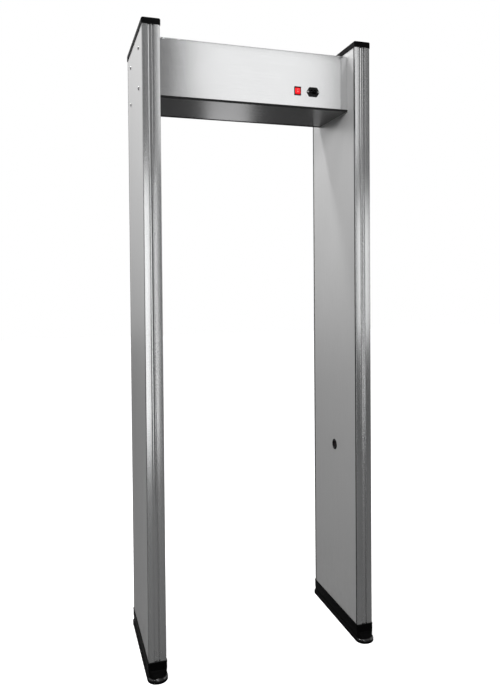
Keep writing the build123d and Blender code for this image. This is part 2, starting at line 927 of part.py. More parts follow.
# ---------------------------------------------------------------- electronics in the header
floor_z = header_bottom + underside_rise + sheet
supply_size = (160.0, 98.0, 38.0)
supply_centre = (235.0, 45.0)
supply_corner = 2.0
vent_size = (60.0, 3.0)
vent_pitch = 8.0
vent_count = 14
vent_depth = 1.5
board_size = (280.0, 150.0, 1.6)
board_centre = (-100.0, -10.0)
board_corner = 3.0
standoff_height = 12.0
standoff_radius = 3.5
standoff_pitch = (264.0, 134.0)


def make_power_supply():
    """Vented metal case of the mains power supply."""
    length, depth, height = supply_size
    with BuildPart() as supply:
        with Locations((*supply_centre, floor_z + height / 2)):
            Box(length, depth, height)
        fillet(supply.edges().filter_by(Axis.Z), radius=supply_corner)
        with BuildSketch(Plane.XY.offset(floor_z + height)):
            with Locations(supply_centre):
                with GridLocations(vent_pitch, 0, vent_count, 1):
                    SlotOverall(*vent_size, rotation=90)
        extrude(amount=-vent_depth, mode=Mode.SUBTRACT)
    return supply.part


def make_main_board():
    """Signal board that drives the coils and reads them back."""
    length, depth, thickness = board_size
    with BuildPart() as board:
        with Locations((*board_centre, floor_z + standoff_height + thickness / 2)):
            Box(length, depth, thickness)
        fillet(board.edges().filter_by(Axis.Z), radius=board_corner)
    return board.part


def make_standoffs():
    """Four pillars under the corners of the signal board."""
    with BuildPart() as standoffs:
        with BuildSketch(Plane.XY.offset(floor_z)):
            with Locations(board_centre):
                with GridLocations(*standoff_pitch, 2, 2):
                    RegularPolygon(standoff_radius, 6)
        extrude(amount=standoff_height)
    return standoffs.part


chip_size = (22.0, 22.0)
chip_height = 3.0
chip_pitch = (50.0, 45.0)
chip_grid = (3, 2)
capacitor_radius = 6.0
capacitor_height = 20.0
capacitor_offset = 105.0
capacitor_pitch = (16.0, 22.0)
capacitor_grid = (2, 5)
block_size = (16.0, 30.0)
block_height = 12.0
block_offset = -112.0
block_pitch = 34.0
block_count = 4


def make_board_components():
    """Chips, capacitors and terminal blocks on the signal board."""
    top = Plane.XY.offset(floor_z + standoff_height + board_size[2])
    with BuildPart() as components:
        with BuildSketch(top):
            with Locations(board_centre):
                with GridLocations(*chip_pitch, *chip_grid):
                    Rectangle(*chip_size)
        extrude(amount=chip_height)
        with BuildSketch(top):
            with Locations((board_centre[0] + capacitor_offset, board_centre[1])):
                with GridLocations(*capacitor_pitch, *capacitor_grid):
                    Circle(capacitor_radius)
        extrude(amount=capacitor_height)
        with BuildSketch(top):
            with Locations((board_centre[0] + block_offset, board_centre[1])):
                with GridLocations(0, block_pitch, 1, block_count):
                    Rectangle(*block_size)
        extrude(amount=block_height)
    return components.part


# ---------------------------------------------------------------- control panel on the far face
control_thickness = 6.0
control_wall = 2.5
control_corner = 8.0
control_round = 2.0
display_opening = (116.0, 46.0)
display_pocket = (121.0, 51.0)
window_thickness = 1.5
window_play = 0.2
module_thickness = 1.8
module_margin = 3.0
button_size = 15.4
button_opening = 16.0
button_pocket = 19.4
button_flange = 18.6
button_travel = 1.5
button_proud = 2.6
button_corner = 1.8
button_round = 0.9
button_rim_play = 0.1
button_back_play = 0.3
button_skirt = 0.4
opening_corner = 2.0
button_places = {
    "menu_button": (52.0, 22.0),
    "up_button": (84.0, 22.0),
    "enter_button": (52.0, -10.0),
    "down_button": (84.0, -10.0),
}
lamp_radius = 3.0
lamp_play = 0.05
lamp_proud = 1.8
lamp_dome = 1.7
lamp_places = [(-86.0, -34.0), (-62.0, -34.0), (-38.0, -34.0)]


def make_control_bezel():
    """Moulded frame of the control panel with pockets for the window and the buttons."""
    outside = control_face.offset(control_thickness)
    places = list(button_places.values())
    with BuildPart() as bezel:
        with BuildSketch(control_face):
            RectangleRounded(control_width, control_height, control_corner)
        extrude(amount=control_thickness)
        fillet(bezel.edges().group_by(Axis.Y)[-1], radius=control_round)
        with BuildSketch(control_face):
            with Locations((display_u, display_w)):
                Rectangle(*display_pocket)
            with Locations(*places):
                Rectangle(button_pocket, button_pocket)
        extrude(amount=control_thickness - control_wall, mode=Mode.SUBTRACT)
        with BuildSketch(outside):
            with Locations((display_u, display_w)):
                Rectangle(*display_opening)
            with Locations(*places):
                RectangleRounded(button_opening, button_opening, opening_corner)
            with Locations(*lamp_places):
                Circle(lamp_radius + lamp_play)
        extrude(amount=-control_thickness, mode=Mode.SUBTRACT)
    return bezel.part


def make_display_window():
    """Tinted window that sits behind the bezel's front wall."""
    with BuildPart() as window:
        with BuildSketch(control_face.offset(control_thickness - control_wall)):
            with Locations((display_u, display_w)):
                Rectangle(display_pocket[0] - window_play, display_pocket[1] - window_play)
        extrude(amount=-window_thickness)
    return window.part


def make_display_module():
    """Display module that lies between the window and the sheet."""
    with BuildPart() as module:
        with BuildSketch(control_face):
            with Locations((display_u, display_w)):
                Rectangle(
                    display_opening[0] - 2 * module_margin, display_opening[1] - 2 * module_margin
                )
        extrude(amount=module_thickness)
    return module.part


def make_button(place):
    """Square key cap with a hidden rim that keeps it behind the bezel's front wall."""
    rim_top = control_thickness - control_wall - button_rim_play
    with BuildPart() as button:
        with BuildSketch(control_face.offset(control_thickness + button_proud)):
            with Locations(place):
                RectangleRounded(button_size, button_size, button_corner)
        extrude(amount=-(button_proud + control_wall + button_skirt))
        fillet(button.edges().group_by(Axis.Y)[-1], radius=button_round)
        with BuildSketch(control_face.offset(rim_top)):
            with Locations(place):
                Rectangle(button_flange, button_flange)
        extrude(amount=-(rim_top - button_travel - button_back_play))
    return button.part


def make_status_lamps():
    """Three small domed lamps under the display."""
    with BuildPart() as lamps:
        with BuildSketch(control_face):
            with Locations(*lamp_places):
                Circle(lamp_radius)
        extrude(amount=control_thickness + lamp_proud)
        fillet(lamps.edges().group_by(Axis.Y)[-1], radius=lamp_dome)
    return lamps.part


sounder_flange_radius = 25.0
sounder_body_radius = 19.8
sounder_depth = 26.0
sounder_flange = 3.0
sounder_round = 1.5
sounder_slot = (24.0, 2.6)
sounder_slot_pitch = 6.0
sounder_slot_count = 5
sounder_slot_depth = 5.0


def make_alarm_sounder():
    """Round sounder with a slotted front, set into the far sheet."""
    centre = (-sounder_x, header_middle_z)
    with BuildPart() as sounder:
        with BuildSketch(far_face):
            with Locations(centre):
                Circle(sounder_flange_radius)
        extrude(amount=sounder_flange)
        fillet(sounder.edges().group_by(Axis.Y)[-1], radius=sounder_round)
        with BuildSketch(far_face):
            with Locations(centre):
                Circle(sounder_body_radius)
        extrude(amount=-sounder_depth)
        with BuildSketch(far_face.offset(sounder_flange)):
            with Locations(centre):
                with GridLocations(0, sounder_slot_pitch, 1, sounder_slot_count):
                    SlotOverall(*sounder_slot)
        extrude(amount=-sounder_slot_depth, mode=Mode.SUBTRACT)
    return sounder.part


for side_name, side in sides.items():
    save(make_end_bracket(side), f"{side_name}_end_bracket")
save(make_near_panel(), "header_near_panel")
save(make_far_panel(), "header_far_panel")
save(make_underside(), "header_underside")
save(make_top_cover(), "header_top_cover")
save(make_cover_screws(), "top_cover_screws")
save(make_edge_trim(header_near, -1), "near_edge_trim")
save(make_edge_trim(header_far, 1), "far_edge_trim")
save(make_switch_housing(), "switch_housing")
save(make_rocker(), "power_rocker")
save(make_rocker_pin(), "rocker_pin")
save(make_switch_terminals(), "switch_terminals")
save(make_mains_inlet(), "mains_inlet")
save(make_inlet_pins(), "inlet_pins")
save(make_inlet_screws(), "inlet_screws")
save(make_inlet_nuts(), "inlet_nuts")
save(make_power_supply(), "power_supply")
save(make_main_board(), "main_board")
save(make_standoffs(), "board_standoffs")
save(make_board_components(), "board_components")
save(make_control_bezel(), "control_bezel")
save(make_display_window(), "display_window")
save(make_display_module(), "display_module")
for button_name, button_place in button_places.items():
    save(make_button(button_place), button_name)
save(make_status_lamps(), "status_lamps")
save(make_alarm_sounder(), "alarm_sounder")
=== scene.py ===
"""Looks of a walk-through detector arch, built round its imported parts.

Units are metres. The origin is on the floor at the middle of the footprint, +Z is up, +X runs
across the passage and -Y is the side with the mains inlet and the power switch.
"""

import logging
import math
from dataclasses import dataclass, field
from enum import Enum

import bpy
import numpy as np
from mathutils import Matrix, Vector


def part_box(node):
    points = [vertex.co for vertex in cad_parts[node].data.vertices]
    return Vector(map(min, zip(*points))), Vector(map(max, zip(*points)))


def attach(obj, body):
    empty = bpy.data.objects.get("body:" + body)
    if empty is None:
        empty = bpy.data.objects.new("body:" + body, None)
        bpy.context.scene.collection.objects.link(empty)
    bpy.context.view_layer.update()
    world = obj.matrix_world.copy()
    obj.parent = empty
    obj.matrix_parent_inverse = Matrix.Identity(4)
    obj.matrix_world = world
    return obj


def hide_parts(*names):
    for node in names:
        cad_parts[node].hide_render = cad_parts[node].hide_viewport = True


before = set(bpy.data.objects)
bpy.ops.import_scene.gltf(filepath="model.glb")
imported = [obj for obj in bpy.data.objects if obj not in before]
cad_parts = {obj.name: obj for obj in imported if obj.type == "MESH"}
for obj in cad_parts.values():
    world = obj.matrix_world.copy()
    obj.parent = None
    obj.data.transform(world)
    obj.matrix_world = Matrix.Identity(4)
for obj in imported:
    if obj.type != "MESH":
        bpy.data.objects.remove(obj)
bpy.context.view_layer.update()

LOG = logging.getLogger("arch")
MM = 0.001
SIDES = ("left", "right")
ENDS = {"near": -1, "far": 1}


# ---------------------------------------------------------------- surfaces
@dataclass
class Surface:
    """Points and faces of one closed skin."""

    points: np.ndarray
    faces: list[list[int]]

    def volume(self) -> float:
        """Six times the signed volume: the sum of fan triangles seen from the origin.

        Returns:
            A positive number when the faces look outwards.
        """
        total = 0.0
        for count in {len(face) for face in self.faces}:
            same = np.array([face for face in self.faces if len(face) == count])
            corners = self.points[same] - self.points.mean(axis=0)
            first = corners[:, :1]
            turned = np.cross(corners[:, 1:-1], corners[:, 2:])
            total += float((first * turned).sum())
        return total

    def outward(self) -> "Surface":
        """The same skin with its faces looking outwards.

        Returns:
            This surface, with every face turned round if its volume was negative.
        """
        if self.volume() >= 0:
            return self
        return Surface(self.points, [face[::-1] for face in self.faces])

    @staticmethod
    def joined(parts: list["Surface"]) -> "Surface":
        """Several skins as the skins of one piece.

        Args:
            parts: closed surfaces that stay apart.

        Returns:
            One surface that holds them all.
        """
        faces: list[list[int]] = []
        offset = 0
        for part in parts:
            faces += [[index + offset for index in face] for face in part.faces]
            offset += len(part.points)
        return Surface(np.concatenate([part.points for part in parts]), faces)


def lofted(rings: np.ndarray, round_again: bool = False) -> Surface:
    """Closed skin through a stack of loops.

    Point i of a loop is joined to point i + 1 and to the same two points of the next loop. The
    first and last loops are closed with one flat face each, or joined to each other.

    Args:
        rings: array of shape (loops, points in a loop, 3).
        round_again: joins the last loop to the first, as in a ring.

    Returns:
        The surface, its faces outwards.
    """
    loops, count, _ = rings.shape
    spans = loops if round_again else loops - 1
    level, point = np.meshgrid(np.arange(spans), np.arange(count), indexing="ij")
    upper = (level + 1) % loops
    following = (point + 1) % count
    corners = [level * count + point, level * count + following]
    corners += [upper * count + following, upper * count + point]
    faces = np.stack(corners, axis=-1).reshape(-1, 4).tolist()
    if not round_again:
        faces.append(list(range(count))[::-1])
        faces.append(list(range((loops - 1) * count, loops * count)))
    return Surface(rings.reshape(-1, 3), faces).outward()


@dataclass(frozen=True)
class Place:
    """A local frame: its origin, and the directions of its u, v and w axes."""

    origin: tuple[float, float, float]
    u: tuple[float, float, float] = (1, 0, 0)
    v: tuple[float, float, float] = (0, 1, 0)
    w: tuple[float, float, float] = (0, 0, 1)

    def put(self, u: np.ndarray, v: np.ndarray, w: np.ndarray | float) -> np.ndarray:
        """Points in the shared frame: the origin plus u, v and w steps along the three axes.

        Args:
            u: first coordinates.
            v: second coordinates.
            w: heights along the third axis, or one height.

        Returns:
            An array whose last axis holds x, y and z.
        """
        u, v, w = np.broadcast_arrays(u, v, w)
        steps = np.stack([u, v, w], axis=-1)
        return steps @ np.array([self.u, self.v, self.w], float) + np.array(self.origin)


def face_place(x: float, y: float, z: float, facing: int) -> Place:
    """Frame on an upright face: v points up and w out of the face, whose y sign is facing."""
    return Place((x, y, z), (-facing, 0, 0), (0, 0, 1), (0, facing, 0))


def rounded_rectangle(
    half_u: float, half_v: float, radius: float, per_corner: int = 9
) -> np.ndarray:
    """Loop of a rectangle whose corners are quarter circles.

    Args:
        half_u: half the width.
        half_v: half the height.
        radius: corner radius.
        per_corner: points in each quarter circle.

    Returns:
        Array of shape (4 * per_corner, 2), anticlockwise.
    """
    angle = (np.arange(4)[:, None] + np.linspace(0, 1, per_corner)[None, :]) * math.pi / 2
    corner = np.array([[1, 1], [-1, 1], [-1, -1], [1, -1]])[:, None, :]
    centre = corner * np.array([half_u - radius, half_v - radius])
    return (centre + radius * np.stack([np.cos(angle), np.sin(angle)], axis=-1)).reshape(-1, 2)


def circle(radius: float, count: int = 64) -> np.ndarray:
    """Loop of evenly spaced points on a circle.

    Args:
        radius: its radius.
        count: number of points.

    Returns:
        Array of shape (count, 2), anticlockwise.
    """
    angle = np.arange(count) * 2 * math.pi / count
    return radius * np.stack([np.cos(angle), np.sin(angle)], axis=-1)


def stacked(place: Place, loops: list[np.ndarray], heights: list[float]) -> np.ndarray:
    """Rings for lofted(): each flat loop lifted to its own height in a local frame.

    Args:
        place: the frame that the loops lie in.
        loops: loops of shape (points, 2), all with as many points.
        heights: one height for each loop.

    Returns:
        Array of shape (loops, points, 3).
    """
    flat = np.array(loops)
    return place.put(flat[..., 0], flat[..., 1], np.array(heights)[:, None])


def turned(place: Place, profile: list[tuple[float, float]], count: int = 64) -> Surface:
    """Skin of a turned part: each (radius, height) of the profile becomes a circle.

    Args:
        place: frame whose w axis is the turning axis.
        profile: radii and heights from one end to the other.
        count: points round the axis.

    Returns:
        The closed surface.
    """
    loops = [circle(radius, count) for radius, _ in profile]
    return lofted(stacked(place, loops, [height for _, height in profile]))


def sunk_loop(loop: np.ndarray, inset: float) -> np.ndarray:
    """A loop moved in towards its middle by about the same distance all round.

    Each point goes along its own normal, which is the mean of its two edges' normals.

    Args:
        loop: anticlockwise loop of shape (points, 2).
        inset: distance to move in.

    Returns:
        The moved loop.
    """
    ahead = np.roll(loop, -1, axis=0) - loop
    behind = loop - np.roll(loop, 1, axis=0)
    ahead /= np.linalg.norm(ahead, axis=1, keepdims=True)
    behind /= np.linalg.norm(behind, axis=1, keepdims=True)
    along = ahead + behind
    along /= np.linalg.norm(along, axis=1, keepdims=True)
    return loop + inset * np.stack([-along[:, 1], along[:, 0]], axis=-1)


# ---------------------------------------------------------------- shader trees
Socket = bpy.types.NodeSocket
Value = float | tuple | Socket


class Tree:
    """Adds nodes to one node tree and links them."""

    def __init__(self, tree: bpy.types.NodeTree) -> None:
        """Keeps the tree that is built.

        Args:
            tree: an empty node tree.
        """
        self.tree = tree

    def add(self, kind: str, inputs: dict | None = None, **settings: object) -> bpy.types.Node:
        """Adds one node.

        Args:
            kind: the node's type name.
            inputs: values, or sockets to link, by the input's name or number.
            **settings: properties of the node.

        Returns:
            The new node.
        """
        node = self.tree.nodes.new(kind)
        for name, value in settings.items():
            setattr(node, name, value)
        self.fill(node, inputs or {})
        return node

    def fill(self, node: bpy.types.Node, inputs: dict) -> None:
        """Sets or links a node's inputs.

        Args:
            node: the node.
            inputs: values, or sockets to link, by the input's name or number.
        """
        for key, value in inputs.items():
            if isinstance(value, Socket):
                self.tree.links.new(value, node.inputs[key])
            else:
                node.inputs[key].default_value = value

    def maths(self, operation: str, *values: Value) -> Socket:
        """A Math node's result, from values or sockets."""
        return self.add("ShaderNodeMath", dict(enumerate(values)), operation=operation).outputs[0]

    def times(self, first: Value, second: Value) -> Socket:
        """The product of two values or sockets."""
        return self.maths("MULTIPLY", first, second)

    def plus(self, first: Value, second: Value) -> Socket:
        """The sum of two values or sockets."""
        return self.maths("ADD", first, second)

    def span(
        self, value: Value, low: Value, high: Value, start: float = 0, end: float = 1
    ) -> Socket:
        """Maps start to end onto low to high, and holds the ends.

        Args:
            value: the socket to map.
            low: result at start.
            high: result at end.
            start: value that gives low.
            end: value that gives high.

        Returns:
            The result.
        """
        inputs = {"Value": value, "From Min": start, "From Max": end, "To Min": low, "To Max": high}
        return self.add("ShaderNodeMapRange", inputs).outputs["Result"]

    def mixed(self, share: Value, first: Value, second: Value) -> Socket:
        """Colour between first and second by share."""
        inputs = {0: share, 6: first, 7: second}
        return self.add("ShaderNodeMix", inputs, data_type="RGBA").outputs[2]

    def noise(self, vector: Socket, scale: Value, detail: float, **more: float) -> Socket:
        """Noise from 0 to 1.

        Args:
            vector: where it is read.
            scale: its frequency.
            detail: number of finer layers.
            **more: other inputs of the texture.

        Returns:
            The noise.
        """
        inputs = {"Vector": vector, "Scale": scale, "Detail": detail, **more}
        return self.add("ShaderNodeTexNoise", inputs).outputs[0]


class EffectTree(Tree):
    """A new effect group: a Vector input, others by name, and one result."""

    def __init__(self, name: str, result: str, **inputs: float | tuple) -> None:
        """Makes the group and its sockets.

        Args:
            name: the group's name.
            result: name of its output.
            **inputs: default value of each input; three numbers make it a vector.
        """
        super().__init__(bpy.data.node_groups.new(name, "ShaderNodeTree"))
        for key, value in {"Vector": (0, 0, 0), **inputs}.items():
            kind = "NodeSocketVector" if isinstance(value, tuple) else "NodeSocketFloat"
            socket = self.tree.interface.new_socket(key, in_out="INPUT", socket_type=kind)
            socket.default_value = value
        self.tree.interface.new_socket(result, in_out="OUTPUT", socket_type="NodeSocketFloat")
        self.given = self.add("NodeGroupInput").outputs

    def giving(self, result: Socket) -> bpy.types.NodeTree:
        """The group, with its result linked."""
        self.add("NodeGroupOutput", {0: result})
        return self.tree


def build_grain(name: str) -> bpy.types.NodeTree:
    """Fine parallel lines of drawn or brushed metal: noise squeezed hard along one direction.

    Args:
        name: name for the group.

    Returns:
        The node group, with a Mask from 0 to 1.
    """
    fine_share = 0.65
    tree = EffectTree(name, "Mask", Pitch=(40, 40, 1400))
    inputs = {0: tree.given["Vector"], 1: tree.given["Pitch"]}
    squeezed = tree.add("ShaderNodeVectorMath", inputs, operation="MULTIPLY").outputs[0]
    fine = tree.noise(squeezed, scale=1.0, detail=3.0, Roughness=0.6)
    coarse = tree.noise(squeezed, scale=0.23, detail=2.0)
    both = tree.plus(tree.times(fine, fine_share), tree.times(coarse, 1 - fine_share))
    return tree.giving(tree.span(both, 0.0, 1.0, start=0.32, end=0.68))


def build_cloud(name: str) -> bpy.types.NodeTree:
    """Slow uneven cloud, as in a finish that has been wiped and handled.

    Args:
        name: name for the group.

    Returns:
        The node group, with a Mask from 0 to 1.
    """
    tree = EffectTree(name, "Mask", Scale=6.0)
    cloud = tree.noise(tree.given["Vector"], tree.given["Scale"], detail=4.0, Roughness=0.55)
    return tree.giving(tree.span(cloud, 0.0, 1.0, start=0.3, end=0.7))


def build_dust(name: str) -> bpy.types.NodeTree:
    """Dust that thins out with height above the floor, broken up by noise.

    Args:
        name: name for the group.

    Returns:
        The node group, with a Mask from 0 to 1.
    """
    thinning = 1.6
    tree = EffectTree(name, "Mask", Reach=0.3, Amount=0.4)
    height = tree.add("ShaderNodeSeparateXYZ", {0: tree.given["Vector"]}).outputs["Z"]
    near_floor = tree.maths("SUBTRACT", 1.0, tree.maths("DIVIDE", height, tree.given["Reach"]))
    thinned = tree.maths("POWER", tree.maths("MAXIMUM", near_floor, 0.0), thinning)
    noise = tree.noise(tree.given["Vector"], scale=38.0, detail=5.0, Roughness=0.65)
    patches = tree.span(noise, 0.25, 1.0, start=0.35, end=0.65)
    return tree.giving(tree.times(tree.times(thinned, patches), tree.given["Amount"]))


def build_spark(name: str) -> bpy.types.NodeTree:
    """Pebbled texture that a spark-eroded mould leaves on plastic: small cells under fine noise.

    Args:
        name: name for the group.

    Returns:
        The node group, with a Height from 0 to 1.
    """
    cell_share, noise_share = 0.7, 0.5
    tree = EffectTree(name, "Height", Scale=1400.0)
    vector, scale = tree.given["Vector"], tree.given["Scale"]
    cells = tree.add("ShaderNodeTexVoronoi", {"Vector": vector, "Scale": scale})
    pebbles = tree.times(cells.outputs["Distance"], cell_share)
    fine = tree.times(tree.noise(vector, scale, detail=2.0), noise_share)
    return tree.giving(tree.plus(pebbles, fine))


def build_scratch(name: str) -> bpy.types.NodeTree:
    """Sparse hair-thin scratches: the crests of two stretched noises that cross.

    Args:
        name: name for the group.

    Returns:
        The node group, with a Mask from 0 to 1.
    """
    tree = EffectTree(name, "Mask", Scale=20.0)
    masks = []
    for turn, stretch in ((0.5, (0.5, 0.5, 9.0)), (-0.9, (8.0, 0.6, 0.6))):
        bend = {"Vector": tree.given["Vector"], "Rotation": (turn, turn, turn), "Scale": stretch}
        bent = tree.add("ShaderNodeMapping", bend).outputs[0]
        lines = tree.noise(bent, tree.given["Scale"], detail=3.0, Distortion=0.4)
        masks.append(tree.span(lines, 0.0, 1.0, start=0.71, end=0.735))
    return tree.giving(tree.maths("MAXIMUM", *masks))


class Effect(Enum):
    """Surface effects that several finishes share, each one shader node group."""

    GRAIN = "drawn_grain"
    CLOUD = "soft_cloud"
    DUST = "floor_dust"
    SPARK = "spark_texture"
    SCRATCH = "hair_scratches"

    def group(self) -> bpy.types.NodeTree:
        """The effect's node group, built the first time it is asked for."""
        made = bpy.data.node_groups.get(self.value)
        return BUILDERS[self](self.value) if made is None else made


BUILDERS = {
    Effect.GRAIN: build_grain,
    Effect.CLOUD: build_cloud,
    Effect.DUST: build_dust,
    Effect.SPARK: build_spark,
    Effect.SCRATCH: build_scratch,
}


# ---------------------------------------------------------------- finishes
Colour = tuple[float, float, float]
PALE_DUST: Colour = (0.34, 0.33, 0.31)
DARK_DUST: Colour = (0.24, 0.23, 0.21)
WHITE = (1.0, 1.0, 1.0, 1.0)
BUMP_STRENGTH = 0.5


def shade(colour: Colour, factor: float = 1.0) -> tuple[float, float, float, float]:
    """A colour made lighter or darker, with its alpha."""
    return (*[min(channel * factor, 1.0) for channel in colour], 1.0)


def emptied(owner: bpy.types.Material | bpy.types.World) -> bpy.types.NodeTree:
    """The node tree of a material or a world, without the nodes it starts with."""
    owner.use_nodes = True
    owner.node_tree.nodes.clear()
    return owner.node_tree


def spaced(inputs: dict[str, Value]) -> dict[str, Value]:
    """Inputs by the shader's own names, which have a space for each _."""
    return {key.replace("_", " "): value for key, value in inputs.items()}


class FinishTree(Tree):
    """A material with one Principled shader, patterned on the Object coordinates."""

    def __init__(self, name: str, **constants: float) -> None:
        """Makes the material.

        Args:
            name: the finish's name.
            **constants: Principled inputs that are the same all over, with _ for a space.
        """
        self.material = bpy.data.materials.new(name)
        super().__init__(emptied(self.material))
        self.principled = self.add("ShaderNodeBsdfPrincipled", spaced(constants))
        self.add("ShaderNodeOutputMaterial", {"Surface": self.principled.outputs[0]})
        self.place = self.add("ShaderNodeTexCoord").outputs["Object"]

    def effect(self, effect: Effect, **inputs: Value) -> Socket:
        """Result of a shared effect on this material, with its other inputs by name."""
        inputs = {"Vector": self.place, **inputs}
        return self.add("ShaderNodeGroup", inputs, node_tree=effect.group()).outputs[0]

    def tinted(self, mask: Socket, colour: Colour, swing: tuple[float, float]) -> Socket:
        """A colour made darker and lighter by a mask, from one factor to another."""
        return self.mixed(mask, shade(colour, swing[0]), shade(colour, swing[1]))

    def bump(self, height: Socket, depth: float) -> Socket:
        """Normal of a surface whose height changes by depth metres."""
        inputs = {"Height": height, "Distance": depth, "Strength": BUMP_STRENGTH}
        return self.add("ShaderNodeBump", inputs).outputs["Normal"]

    def cover(self, **sockets: Socket) -> bpy.types.Material:
        """Links sockets that change over the surface into the shader, and gives the material."""
        self.fill(self.principled, spaced(sockets))
        return self.material


@dataclass(frozen=True)
class DrawnMetal:
    """Brushed or drawn metal, or a satin metallic coat: fine grain one way under a slow cloud."""

    name: str
    colour: Colour
    metallic: float = 0.9
    roughness: float = 0.32
    pitch: tuple[float, float, float] = (40, 40, 1400)
    grain: float = 0.10
    depth: float = 0.00002
    grain_roughness: float = 0.02
    cloud_scale: float = 5.0
    cloud_share: float = 0.08
    cloud_shade: float = 0.85
    cloud_roughness: float = 0.03
    dust: float = 0.35
    dust_reach: float = 0.45
    dust_share: float = 0.5
    dust_roughness: float = 0.2

    def material(self) -> bpy.types.Material:
        """Builds the material.

        Returns:
            The Blender material.
        """
        tree = FinishTree(self.name, Metallic=self.metallic)
        grain = tree.effect(Effect.GRAIN, Pitch=self.pitch)
        cloud = tree.effect(Effect.CLOUD, Scale=self.cloud_scale)
        dust = tree.effect(Effect.DUST, Reach=self.dust_reach, Amount=self.dust)
        grained = tree.tinted(grain, self.colour, (1 - self.grain, 1 + self.grain))
        cloudy = shade(self.colour, self.cloud_shade)
        clouded = tree.mixed(tree.times(cloud, self.cloud_share), grained, cloudy)
        dusty = tree.mixed(tree.times(dust, self.dust_share), clouded, shade(PALE_DUST))
        swing = self.grain_roughness
        rough = tree.span(grain, self.roughness - swing, self.roughness + swing)
        rougher = tree.plus(rough, tree.times(dust, self.dust_roughness))
        handled = tree.plus(rougher, tree.times(cloud, self.cloud_roughness))
        if self.depth > 0:
            tree.cover(Normal=tree.bump(grain, self.depth))
        return tree.cover(Base_Color=dusty, Roughness=handled)


@dataclass(frozen=True)
class Moulded:
    """Moulded plastic or rubber with the fine pebble of its mould, scuffs and floor dust."""

    name: str
    colour: Colour
    roughness: float = 0.42
    pebble: float = 1500.0
    depth: float = 0.00004
    wear: float = 0.25
    faded: float = 1.7
    scuffed: float = 3.0
    polish: float = 0.06
    matting: float = 0.08
    cloud_scale: float = 24.0
    scratch_scale: float = 60.0
    dust: float = 0.5
    dust_reach: float = 0.07
    dust_roughness: float = 0.3
    gloss: float = 0.5
    ior: float = 1.45
    coat_roughness: float = 0.2
    coat_ior: float = 1.7
    highlight_band_past: float = 0.0
    highlight_band_heights: tuple[float, float] = (9.0 * MM, 14.5 * MM)
    highlight_band_fade: float = 8.0 * MM

    def highlight_band(self, tree: FinishTree) -> Socket:
        """Mask of a glossy coat band along the nose edge: a painted highlight that catches the
        overhead light.

        It is one between the two heights of the band and past a distance along Y. It fades out
        over a millimetre above and below them.

        Args:
            tree: the material's tree.

        Returns:
            The mask.
        """
        parts = tree.add("ShaderNodeSeparateXYZ", {0: tree.place})
        low, high = self.highlight_band_heights
        above = tree.span(parts.outputs["Z"], 0.0, 1.0, low - MM, low)
        below = tree.span(parts.outputs["Z"], 1.0, 0.0, high, high + MM)
        along = tree.maths("ABSOLUTE", parts.outputs["Y"])
        reached = self.highlight_band_past + self.highlight_band_fade
        past = tree.span(along, 0.0, 1.0, self.highlight_band_past, reached)
        return tree.times(tree.times(above, below), past)

    def material(self) -> bpy.types.Material:
        """Builds the material.

        Returns:
            The Blender material.
        """
        coat = {"Coat_Roughness": self.coat_roughness, "Coat_IOR": self.coat_ior}
        tree = FinishTree(self.name, Specular_IOR_Level=self.gloss, IOR=self.ior, **coat)
        spark = tree.effect(Effect.SPARK, Scale=self.pebble)
        cloud = tree.effect(Effect.CLOUD, Scale=self.cloud_scale)
        dust = tree.effect(Effect.DUST, Reach=self.dust_reach, Amount=self.dust)
        scratch = tree.effect(Effect.SCRATCH, Scale=self.scratch_scale)
        worn = tree.tinted(tree.times(cloud, self.wear), self.colour, (1.0, self.faded))
        scuffed = tree.mixed(tree.times(scratch, self.wear), worn, shade(self.colour, self.scuffed))
        dusty = tree.mixed(dust, scuffed, shade(DARK_DUST))
        rough = tree.span(cloud, self.roughness - self.polish, self.roughness + self.matting)
        rougher = tree.plus(rough, tree.times(dust, self.dust_roughness))
        # the coat on the nose edge band is a painted highlight
        if self.highlight_band_past > 0:
            tree.cover(Coat_Weight=self.highlight_band(tree))
        return tree.cover(Base_Color=dusty, Roughness=rougher, Normal=tree.bump(spark, self.depth))


@dataclass(frozen=True)
class TurnedMetal:
    """Plated or turned metal of screws, bolts, pins and contacts, a little stained."""

    name: str
    colour: Colour
    roughness: float = 0.24
    stain: Colour = (0.2, 0.18, 0.16)
    stained: float = 0.3
    scratch_shine: float = 1.25
    polish: float = 0.06
    matting: float = 0.12
    cloud_scale: float = 260.0
    pebble: float = 2600.0
    scratch_scale: float = 240.0
    depth: float = 0.00001

    def material(self) -> bpy.types.Material:
        """Builds the material.

        Returns:
            The Blender material.
        """
        tree = FinishTree(self.name, Metallic=1.0)
        cloud = tree.effect(Effect.CLOUD, Scale=self.cloud_scale)
        spark = tree.effect(Effect.SPARK, Scale=self.pebble)
        scratch = tree.effect(Effect.SCRATCH, Scale=self.scratch_scale)
        worn = tree.mixed(tree.times(cloud, self.stained), shade(self.colour), shade(self.stain))
        bright = tree.mixed(scratch, worn, shade(self.colour, self.scratch_shine))
        rough = tree.span(cloud, self.roughness - self.polish, self.roughness + self.matting)
        return tree.cover(Base_Color=bright, Roughness=rough, Normal=tree.bump(spark, self.depth))


